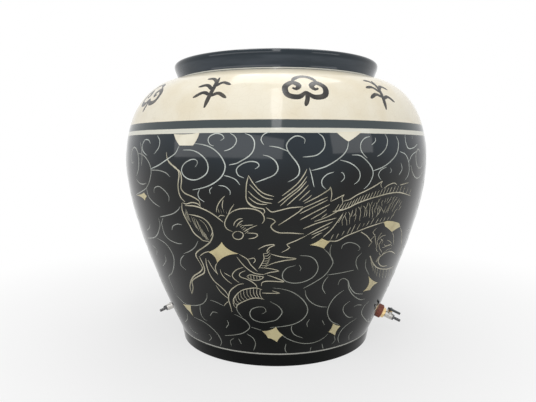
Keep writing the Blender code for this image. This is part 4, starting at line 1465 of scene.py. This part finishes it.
CLAWS = strokes(
    (239.3, 254.3, 247.3, 259.3, 250.7, 264.7, 257.3, 271.3),
    (236.7, 256.7, 241.3, 262.7, 247.3, 268.7, 254.7, 273.3, 264, 274.7),
    (247.3, 259.3, 250.7, 258.7, 254, 258, 255.3, 260.7, 253.3, 263.3),
    (270.7, 254, 280.7, 256.7, 296, 258.7, 284, 260.7, 274, 263, 266.7, 266),
    (264, 268, 270.7, 268.7, 278.7, 271, 270.7, 272.3, 264, 274.3),
    (267.3, 275, 276, 278, 284, 281.7, 274, 281.3, 266, 281.3, 262, 282.7, 261.3, 286),
    (272, 290.7, 276, 292, 279.7, 293.3, 270.7, 293.3, 262, 293),
    (263.3, 253.3, 264, 258.7, 262, 263.3, 258.7, 268.7),
    (246.7, 276.7, 250, 274.7, 257.3, 276, 264, 276.7),
    (247.3, 277.3, 252, 280, 259.3, 280, 264, 277.3),
    (245.3, 270.7, 240.7, 272.7, 239.3, 275.3, 241.3, 277.3, 247.3, 279.3, 253.3, 282.7, 256.7, 286,
     256.7, 288),
    (243.3, 267.3, 237.3, 269.3, 233.3, 272.7, 232.3, 276, 234.7, 279.3, 239.3, 282.7),
    (244, 283.7, 239.3, 284.3, 234, 287.3, 230, 291.3, 228.7, 296, 228.7, 300, 230.7, 306.7, 232, 312),
    (220, 269.3, 222, 274.7, 226.7, 280, 232, 284),
    (224, 272.7, 230.7, 276.7),
    (205.7, 258.3, 206.7, 265.3, 209.3, 273.3, 214, 280.7, 220.7, 286.7, 226, 292, 228.7, 296.7),
    (208, 260, 212.7, 268, 218, 274.7),
    (217, 263, 215.3, 266.7, 216, 270.7, 218, 274.7),
    (216, 285.3, 220.7, 292, 226, 296.7, 229.3, 298.7),
    (224, 306, 226, 303.3, 228.7, 301.3),
)
CLAW_EDGES = CLAWS[8:10]
THROAT = strokes(
    (263.3, 252.3, 264, 258.7, 262, 263.3, 258.7, 268.7),
    (269.7, 249.7, 271, 256.7, 269.3, 261.3, 266.7, 266.7),
)
LEG = strokes(
    (233.3, 304, 233.3, 300, 236, 295.3, 241.3, 290.7, 248, 288.7, 256, 288, 262, 289.7),
    (236.7, 310, 237.3, 305.3, 242.7, 302, 250.7, 298.7, 257.3, 298, 264, 299.3),
)
TAIL = strokes(
    (370, 256, 373, 263, 378, 268, 387, 269, 394, 266),
    (376, 262.2, 379.3, 257.8, 383.8, 253.6, 390.4, 251.4, 394.9, 253.6),
    (379.3, 257.8, 378.2, 262.2, 381.6, 266.1, 387.1, 265.6),
    (361, 232, 367, 236, 371.5, 242),
)
TUFT = strokes(
    (377, 227.8, 373, 232.3, 375, 235.5, 375.5, 241.5, 377, 248),
    (375, 235.5, 370.8, 240, 372, 242, 369.5, 245, 368.2, 247),
    (386, 235, 382, 236.2, 378.5, 239.2, 377, 242, 378.5, 246),
    (382, 232.5, 379, 236.5, 377.5, 239.5),
    (383.5, 238.5, 379.5, 243.5, 379.5, 248, 382, 252.5),
    (380.5, 238.5, 382.8, 241.2, 381.6, 244.4),
    (387, 240.2, 390, 241.5, 391.5, 243.5),
    (384, 244, 385.5, 246, 390, 244.5, 392, 246),
    (382, 248, 387, 246, 391.5, 244),
    (391.5, 248, 387, 250, 383.5, 253, 382, 254.5),
    (376, 247, 376.5, 250, 377.5, 252),
    (379, 252, 379.5, 254, 380.5, 255),
    (380.7, 255.2, 377.5, 258.5, 375.2, 262.5),
    (392, 232, 393.5, 236, 393.5, 241, 394, 245),
    (400, 227.5, 401.7, 232.5, 401.5, 240, 401.7, 245, 399, 252, 396.5, 256),
)
MUZZLE = strokes(
    (236.4, 223.6, 241.4, 228.6, 245.7, 234.3),
    (239.6, 221.4, 244.3, 226.4, 249.3, 231.4),
)
MUZZLE_STRIPES = hatch(*MUZZLE, count=7)
EAR_HAIRS = strokes(
    (185.7, 208.6, 187, 215, 189.3, 221.4),
    (187.1, 211.4, 188.6, 217, 190.7, 222.1),
    (185, 211.4, 186, 216, 188.6, 220.7),
    (191.4, 216.4, 193.6, 222.1, 197.1, 228.6),
    (193.6, 217.1, 195.7, 224.3, 199.3, 231.4),
    (195.7, 218.6, 198.6, 225.7, 201.4, 232.9),
    (197.1, 220.7, 200, 229.3, 203.6, 237.1),
    (199.3, 224.3, 202.1, 232.1, 206.4, 239.3),
    (201.4, 228.6, 204.3, 234.3, 207.9, 240.7),
    (204.3, 232.1, 206.4, 236.4, 209.3, 240.7),
    (199.3, 219.3, 205, 224.3, 208.6, 231.4),
)
RIDGE_HAIRS = hatch(*RIDGE, *RIDGE_TOP, count=24, lean=0.012)
BELLY_HAIRS = strokes(
    (330.5, 239.8, 333.5, 234.4),
    (335.8, 238.6, 338.8, 233.2),
    (341.8, 235.4, 344.3, 230.8),
    (347.2, 233.8, 350.9, 227.1),
    (350.9, 233.3, 355.5, 224.2),
    (356.8, 230, 360.5, 223.3),
    (362.6, 226.7, 364.7, 222.9),
    (366.3, 225.8, 369.3, 220.8),
    (370.5, 224.6, 374.3, 217.9),
    (375.5, 223.3, 378.8, 218.3),
    (379.3, 222.5, 382.2, 217.5),
    (383, 221.7, 385.5, 216.7),
    (387.2, 220, 389.3, 216.7),
    (390.5, 219.6, 392.6, 214.6),
    (392.2, 217.5, 394.7, 212.1),
)
SCALES = strokes(
    (343.4, 212.5, 340.5, 219.2, 338, 222.9),
    (346.3, 212.1, 344.7, 215.8, 342.2, 220, 342.4, 225.8),
    (344.7, 215.8, 346.8, 221.7, 346.5, 225.8),
    (348.4, 212.1, 350.1, 215, 349.5, 220.8, 349.7, 224.2),
    (352.6, 210, 351.8, 214.2, 350.9, 216.7),
    (356.3, 207.9, 355.5, 213.3, 353, 216.7),
    (355.5, 213.3, 355.9, 216.7, 354.3, 221.7),
    (358, 206.7, 360.1, 209.2, 360.7, 213.3, 359.7, 218.3, 359.5, 220.8),
    (361.3, 205.4, 360.7, 209.2),
    (363, 205.8, 365.1, 207.9, 364.7, 213.3, 363.8, 217.5),
    (368, 202.5, 366.8, 206.7, 365.3, 208.8),
    (368.8, 202.5, 370.1, 206.3, 369.7, 210.8, 369.3, 217.5),
    (372.6, 200.8, 371.3, 204.2, 370.1, 206.7),
    (375.1, 202.5, 372.6, 207.5, 372.2, 210.8, 372.8, 215, 371.8, 218.3),
    (376.3, 202.1, 376.8, 205.4, 374.7, 209.6, 375.1, 213.3),
    (380.9, 197.9, 378, 202.1, 376.8, 204.6),
    (376.8, 207.9, 378, 210.8, 377.2, 215, 375.9, 217.1),
    (383, 200, 381.8, 202.5, 382.2, 206.3),
    (381.3, 206.7, 379.7, 211.7, 377.6, 215),
    (380.5, 206.7, 382.2, 209.6, 383.4, 212.1),
    (386.3, 205.8, 384.3, 210.8, 383.4, 213.3),
    (391.8, 196.3, 389.3, 200.8, 386.8, 203.8),
    (393.4, 197.5, 392.6, 201.3, 389.7, 206.3, 387.2, 213.3),
    (397.6, 196.7, 393.8, 202.1, 391.8, 206.7, 390.1, 209.2),
    (399.7, 198.3, 396.3, 203.8, 394.3, 206.7),
    (398, 207.5, 393.4, 213.3),
    (400.5, 199.2, 398.4, 203.8),
    (366.6, 208.5, 366.9, 212.5, 366, 217),
    (379, 199, 377.8, 202.5),
    (379.2, 204.5, 378.9, 208.5, 380.3, 211.5),
    (385.8, 198.2, 384.4, 203.5),
    (388.8, 197.3, 386.4, 201.6),
    (390, 203.4, 388, 208.6, 385.2, 213.2),
    (395.2, 196, 392.4, 200.4),
    (396.4, 203.4, 393.8, 208.2, 391.6, 212.2),
    (401.8, 201.5, 399, 206.4),
    (401.4, 205.8, 398.4, 210.6),
)
CLAW_HAIRS = (
    *hatch(*THROAT, count=7, lean=-0.04, bow=0.2),
    *hatch(*CLAW_EDGES, count=6),
    *hatch(*LEG, count=11, bow=0.15),
)
TAIL_EDGE = strokes((371, 263, 373, 271, 377, 277, 384, 279, 392, 276))
TAIL_HAIRS = hatch(TAIL[0], *TAIL_EDGE, count=10, lean=0.02)
HAIRS = HEAD_HAIRS + MUZZLE_STRIPES + EAR_HAIRS + CLAW_HAIRS + TAIL_HAIRS + TUFT

# The cloud scrolls take lit and shaded copies of the line slip: painted reflection on the upper ones,
# painted shade on the left and lower ones.
CUT_PATTERN = (
    CutLines("cloud_scrolls_upper", 0.0022, CLOUDS_UPPER_LEFT + CLOUDS_UPPER_RIGHT, finish=SKY_LIT_SLIP),
    CutLines("cloud_scrolls_left", 0.0022, CLOUDS_LEFT, finish=SIDE_SHADED_SLIP),
    CutLines("cloud_scrolls_lower", 0.0019, CLOUDS_LOWER_LEFT + CLOUDS_LOWER_RIGHT, finish=LOW_SHADED_SLIP),
    CutLines("dragon_whiskers", 0.0027, DRAGON_WHISKERS + EAR_EDGE),
    CutLines("dragon_head", 0.0023, HEAD),
    CutLines("dragon_mane", 0.0022, MANE + BACK_FLAMES),
    CutLines("dragon_back", 0.0023, RIDGE + BELLY + TAIL, Taper.END),
    CutLines("dragon_claws", 0.0022, CLAWS + LEG),
    CutLines("dragon_hairs", 0.0015, HAIRS),
    CutLines("dragon_ridge", 0.0018, RIDGE_HAIRS + BELLY_HAIRS),
    CutLines("dragon_scales", 0.0015, SCALES),
)
TABS = (
    Patch(*strokes((174, 134, 179.5, 145.5, 193, 145.5, 199.5, 132.5)), (-0.06, 0.0, -0.06, 0.04)),
    Patch(*strokes((336, 131.5, 348.5, 141.5, 362, 131)), (-0.05, -0.05, 0.02)),
)
STARS = (
    Patch(*strokes((221.7, 242, 238.7, 253.7, 217.3, 263, 208.3, 252)), (0.12, 0.14, 0.14, 0.10)),
    Patch(*strokes((310, 245, 322, 238.3, 330, 241.5, 324, 248.5)), (0.06, 0.05, 0.06, 0.06)),
    Patch(
        *strokes(
            (383.8, 222.1, 387.2, 220.8, 393, 221.3, 399, 223, 400.1, 226.7, 391.8, 231.9, 385.2, 226.4),
        ),
        (0.0, 0.0, 0.0, 0.0, 0.03, 0.03, 0.0),
    ),
    Patch(*strokes((368.5, 276, 377.5, 282.5, 370, 290, 363, 291.5)), (0.10, 0.10, 0.04, 0.18)),
    Patch(*strokes((183, 304, 191, 305, 193.5, 316.5, 187, 309)), (0.06, 0.12, 0.12, 0.08)),
    Patch(*strokes((333, 323.5, 340.5, 326, 335, 335.5, 328.5, 332)), (0.06, 0.10, 0.06, 0.08)),
    Patch(*strokes((262, 331, 276, 327, 283, 335, 277, 342, 268, 338)), (0.10, 0.08, 0.08, 0.08, 0.08)),
    Patch(*strokes((136, 195, 144, 192.5, 147, 196, 145, 200.5)), (0.12, 0.06, 0.08, 0.12)),
)

CURL = strokes(
    (0, -0.15, -0.35, -0.45, -0.85, -0.35, -0.95, 0.1, -0.6, 0.4, -0.3, 0.2, -0.45, -0.02, -0.62, 0.06),
)
CLOUD_MOTIF = (
    *CURL,
    *(tuple((-x, y) for x, y in stroke) for stroke in CURL),
    *strokes(
        (-0.62, 0.5, -0.35, 0.78, 0, 0.88, 0.35, 0.78, 0.62, 0.5),
        (0, -0.15, 0.03, -0.5, -0.1, -0.92),
    ),
)
LEAF_MOTIF = strokes(
    (-0.12, -0.95, -0.02, -0.4, 0.08, 0.2, 0.1, 0.9),
    (0, -0.3, -0.4, -0.12, -0.9, -0.38),
    (0.04, 0, -0.36, 0.34, -0.86, 0.26),
    (0.08, 0.2, 0.46, 0.48, 0.92, 0.3),
    (0.02, -0.36, 0.42, -0.2, 0.86, -0.48),
    (0.1, 0.5, -0.2, 0.82, -0.6, 0.84),
)


@dataclass(frozen=True)
class Sweep:
    """Points that turn about a scroll's middle, in radians and in units of the scroll's size."""

    count: int
    start: float
    turn: float
    reach: float
    growth: float = 0.0
    bend: float = 0.0

    def points(self) -> list[Point]:
        """Follows the sweep.

        Returns:
            The angle and the reach of each point.
        """
        points = []
        for step in range(self.count):
            reach = self.reach + self.growth * step + self.bend * step * step / (self.count - 1)
            points.append((self.start + self.turn * step, reach))
        return points


@dataclass(frozen=True)
class SideScroll:
    """A cloud scroll where the two dragons' fields meet, placed by its azimuth and height."""

    azimuth_deg: float
    height: float
    size: float
    turn_deg: float
    mirrored: bool = False
    highest: float = 0.607
    curl: Sweep = Sweep(16, 0.0, 0.42, 0.14, 0.052)
    arm: Sweep = Sweep(7, 3.2, 0.36, 1.24, bend=-0.02)
    tail: Sweep = Sweep(5, 0.1, -0.16, 1.05, 0.2)

    def strokes(self, wall: Wall) -> list[Stroke]:
        """A curl with an outer arm and a short tail, cut off at the pale line.

        Args:
            wall: The wall that it is laid on.

        Returns:
            The strokes as azimuths and ways.
        """
        radius, way = wall.at_height(self.height)
        side = -1.0 if self.mirrored else 1.0
        turn = math.radians(self.turn_deg)

        def spot(angle: float, reach: float) -> Point:
            """A point of the scroll.

            Args:
                angle: Its angle.
                reach: Its reach in units of the size.

            Returns:
                Its azimuth and way.
            """
            across = reach * self.size * math.cos(angle + turn) * side
            up = reach * self.size * math.sin(angle + turn)
            return math.radians(self.azimuth_deg) + across / radius, way + up

        whole = [[spot(*point) for point in sweep.points()] for sweep in (self.curl, self.arm, self.tail)]
        limit = wall.at_height(self.highest)[1]
        kept = [tuple(point for point in stroke if point[1] < limit) for stroke in whole]
        return [stroke for stroke in kept if len(stroke) > 2]


SIDE_SCROLLS = (
    SideScroll(57, 0.560, 0.050, 20),
    SideScroll(79, 0.540, 0.054, 200, True),
    SideScroll(101, 0.545, 0.050, 80),
    SideScroll(123, 0.550, 0.052, 250, True),
    SideScroll(66, 0.440, 0.056, 110),
    SideScroll(89, 0.420, 0.054, 300),
    SideScroll(112, 0.440, 0.052, 30, True),
    SideScroll(67, 0.318, 0.038, 60, True),
    SideScroll(85, 0.292, 0.046, 160),
    SideScroll(103, 0.312, 0.042, 250, True),
    SideScroll(69, 0.205, 0.042, 330),
    SideScroll(93, 0.190, 0.044, 100, True),
    SideScroll(115, 0.170, 0.038, 200),
    SideScroll(60, 0.110, 0.028, 20),
    SideScroll(104, 0.100, 0.026, 280),
    SideScroll(119, 0.094, 0.024, 140, True),
)


@dataclass(frozen=True)
class ShoulderMotifs:
    """Brushed clouds and leaf sprigs round the pale shoulder."""

    front_deg: tuple[float, ...] = (-55.0, -22.2, 9.9, 40.2)
    back_deg: tuple[float, ...] = (80.0, 106.5, 133.0, 159.5, 186.0, 212.5, 239.0, 265.5)
    height: float = 0.7140
    half_width: float = 0.050
    half_height: float = 0.052
    brush: float = 0.0125
    fine_brush: float = 0.0110
    raised: float = 0.00016

    def lay(
        self, decorator: Decorator, motif: tuple[Stroke, ...], turns_deg: list[float], brush: float,
    ) -> bpy.types.Mesh:
        """One mesh of a motif at each of its places.

        Args:
            decorator: What lays the strokes on the wall.
            motif: The strokes, from -1 to 1 across and up.
            turns_deg: The azimuths of the places.
            brush: The width of a stroke.

        Returns:
            The brushwork on the wall.
        """
        radius, way = decorator.wall.at_height(self.height)
        laid = []
        for turn in turns_deg:
            middle = math.radians(turn)
            for stroke in motif:
                laid.append(tuple(
                    (middle + x * self.half_width / radius, way + y * self.half_height) for x, y in stroke
                ))
        return decorator.lines(CutLines("brushwork", brush, motif, raised=self.raised), laid)


@dataclass(frozen=True)
class Jar:
    """The vessel with its cut decoration."""

    sizes: JarSizes
    bench: Bench
    decorator: Decorator
    segments: int = 256
    nodes: tuple[str, ...] = (
        "jar_foot", "jar_lower_wall", "jar_middle_wall", "jar_belly_wall", "jar_upper_wall", "jar_shoulder",
        "jar_collar",
    )
    finishes: tuple[Finish, ...] = (BandedGlaze(), InnerGlaze(), BareClay())
    side_scroll_width: float = 0.0030

    def turned(self) -> bpy.types.Mesh:
        """Turns the vessel from its three runs of outline.

        Returns:
            The vessel's mesh.
        """
        whole = bmesh.new()
        runs = {
            Zone.OUTSIDE: self.sizes.outside(),
            Zone.INSIDE: self.sizes.inside(),
            Zone.SOLE: self.sizes.base(),
        }
        for zone, run in runs.items():
            ring = [whole.verts.new((point.x, 0, point.y)) for point in run]
            edges = [whole.edges.new(pair) for pair in zip(ring, ring[1:])]
            before = set(whole.faces)
            bmesh.ops.spin(
                whole,
                geom=[*ring, *edges],
                cent=(0, 0, 0),
                axis=(0, 0, 1),
                angle=TAU,
                steps=self.segments,
                use_merge=True,
            )
            for face in whole.faces:
                if face not in before:
                    face.material_index = zone.value
        bmesh.ops.remove_doubles(whole, verts=whole.verts, dist=MERGE)
        bmesh.ops.recalc_face_normals(whole, faces=whole.faces)
        return mesh_of(whole, "jar_vessel")

    def build(self) -> None:
        """Adds the vessel, its cut lines and fields, and the brushwork on the shoulder."""
        self.bench.piece("jar_vessel", self.turned(), self.finishes, "glaze", replaces=self.nodes)
        self.cut()
        self.brushed()

    def cut(self) -> None:
        """Adds the cut pattern on the front, its repeat on the back and the scrolls between them."""
        for lines in CUT_PATTERN:
            seen = self.decorator.seen(lines.strokes)
            for side, turn in FACES:
                mesh = self.decorator.lines(lines, seen, turn)
                self.bench.piece(f"{lines.name}_{side}", mesh, (lines.finish,), "glaze")
        # The side scrolls take the side copy of the line slip, with its painted shade.
        side_lines = CutLines("side_scrolls", self.side_scroll_width, (), finish=SIDE_SHADED_SLIP)
        scrolls = [stroke for scroll in SIDE_SCROLLS for stroke in scroll.strokes(self.decorator.wall)]
        for side, turn in FLANKS:
            mesh = self.decorator.lines(side_lines, scrolls, turn)
            self.bench.piece(f"side_scrolls_{side}", mesh, (side_lines.finish,), "glaze")
        for name, patches, finish in (("star", STARS, FIELD_SLIP), ("tab", TABS, TAB_SLIP)):
            seen = self.decorator.seen(tuple(patch.outline() for patch in patches))
            for side, turn in FACES:
                mesh = self.decorator.field(name, seen, turn)
                self.bench.piece(f"{name}_fields_{side}", mesh, (finish,), "glaze")

    def brushed(self) -> None:
        """Adds the motifs on the shoulder, a cloud and a sprig in turn."""
        motifs = ShoulderMotifs()
        places = [*motifs.front_deg, *motifs.back_deg]
        clouds = motifs.lay(self.decorator, CLOUD_MOTIF, places[::2], motifs.brush)
        leaves = motifs.lay(self.decorator, LEAF_MOTIF, places[1::2], motifs.fine_brush)
        self.bench.piece("shoulder_clouds", clouds, (OXIDE,), "glaze")
        self.bench.piece("shoulder_sprigs", leaves, (OXIDE,), "glaze")


@dataclass(frozen=True)
class Cock:
    """One lever ball cock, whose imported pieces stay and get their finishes."""

    side: str

    def finishes(self) -> dict[str, Finish]:
        """Names the finish of each piece, also of those that only one of the two cocks has.

        Returns:
            Finishes by the piece's name.
        """
        return {
            "bung": RED_RUBBER,
            "seat_washer": GREY_RUBBER,
            "flange_nut": BRASS,
            "body": NICKEL,
            "hose_tail": DARK_NICKEL,
            "inner_seat": SEAL_PLASTIC,
            "outer_seat": SEAL_PLASTIC,
            "packing": SEAL_PLASTIC,
            "gland_nut": BRASS,
            "inner_washer": GREY_RUBBER,
            "lock_nut": BRASS,
            "ball": STEEL,
            "stem": STEEL,
            "lever": LEVER_PLASTIC,
            "lever_nut": STEEL,
        }

    def dress(self, nodes: dict[str, bpy.types.Object], shelf: Shelf) -> None:
        """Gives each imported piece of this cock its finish.

        Args:
            nodes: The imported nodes' objects by name.
            shelf: The shelf of finishes.
        """
        for piece, finish in self.finishes().items():
            node = nodes.get(f"{self.side}_tap_{piece}")
            if node is None:
                continue
            for slot in node.material_slots:
                slot.material = shelf.material(finish)
            LOG.info("%s: %s", node.name, finish.name)


@dataclass(frozen=True)
class Softbox:
    """An oblong area lamp."""

    name: str
    place: tuple[float, float, float]
    aim: tuple[float, float, float]
    width: float
    depth: float
    watts: float

    def add(self) -> None:
        """Puts the lamp in the scene."""
        light = bpy.data.lights.new(self.name, "AREA")
        light.shape = "RECTANGLE"
        light.size = self.width
        light.size_y = self.depth
        light.energy = self.watts
        obj = bpy.data.objects.new(self.name, light)
        way = Vector(self.aim) - Vector(self.place)
        turn = way.to_track_quat("-Z", "Y").to_matrix().to_4x4()
        obj.matrix_world = Matrix.Translation(self.place) @ turn
        bpy.context.scene.collection.objects.link(obj)


@dataclass(frozen=True)
class Studio:
    """Pale floor, white surroundings and soft lamps."""

    floor_reach: float = 12.0
    floor_squares: int = 8
    fill: float = 0.42
    lamps: tuple[Softbox, ...] = (
        Softbox("strip_softbox", (0.02, -1.55, 2.3), (0.02, 0.0, 0.62), 0.26, 2.2, 10.5),
        Softbox("window_softbox", (-1.6, -2.4, 1.16), (0.0, 0.0, 0.6), 4.6, 0.9, 29.0),
        Softbox("side_softbox", (2.0, -1.6, 1.15), (0.0, 0.0, 0.6), 1.4, 0.7, 7.4),
        Softbox("overhead_softbox", (0.1, 0.3, 2.7), (0.0, 0.0, 0.7), 1.6, 1.2, 20.0),
    )

    def build(self, shelf: Shelf) -> None:
        """Adds the floor, the world and the lamps.

        Args:
            shelf: The shelf of finishes.
        """
        work = bmesh.new()
        squares = self.floor_squares
        bmesh.ops.create_grid(work, x_segments=squares, y_segments=squares, size=self.floor_reach)
        mesh = mesh_of(work, "studio_floor")
        mesh.materials.append(shelf.material(PaleFloor()))
        floor = bpy.data.objects.new("studio_floor", mesh)
        bpy.context.scene.collection.objects.link(floor)
        for lamp in self.lamps:
            lamp.add()
        self.surround()
        bpy.context.scene.view_settings.view_transform = "Standard"

    def surround(self) -> None:
        """White for the camera and for reflections, a plain fill for everything else."""
        world = bpy.data.worlds.new("studio_world")
        world.use_nodes = True
        tree = world.node_tree
        tree.nodes.clear()
        path = tree.nodes.new("ShaderNodeLightPath")
        seen = path.outputs["Is Camera Ray"]
        for ray in MIRROR_RAYS:
            either = tree.nodes.new("ShaderNodeMath")
            either.operation = "MAXIMUM"
            tree.links.new(seen, either.inputs[0])
            tree.links.new(path.outputs[ray], either.inputs[1])
            seen = either.outputs[0]
        plain = tree.nodes.new("ShaderNodeBackground")
        plain.inputs["Strength"].default_value = self.fill
        white = tree.nodes.new("ShaderNodeBackground")
        for shade in (plain, white):
            shade.inputs["Color"].default_value = WHITE
        mix = tree.nodes.new("ShaderNodeMixShader")
        tree.links.new(seen, mix.inputs[0])
        tree.links.new(plain.outputs[0], mix.inputs[1])
        tree.links.new(white.outputs[0], mix.inputs[2])
        output = tree.nodes.new("ShaderNodeOutputWorld")
        tree.links.new(mix.outputs[0], output.inputs[0])
        bpy.context.scene.world = world


def main() -> None:
    """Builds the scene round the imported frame."""
    logging.basicConfig(level=logging.INFO, format="%(name)s %(message)s")
    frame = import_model()
    shelf = Shelf()
    sizes = JarSizes()
    view = FrontView()
    view.add_camera()
    Studio().build(shelf)
    Jar(sizes, Bench(shelf), Decorator(Wall(sizes), view)).build()
    for side in ("right", "left"):
        Cock(side).dress(frame["nodes"], shelf)


if __name__ == "__main__":
    main()
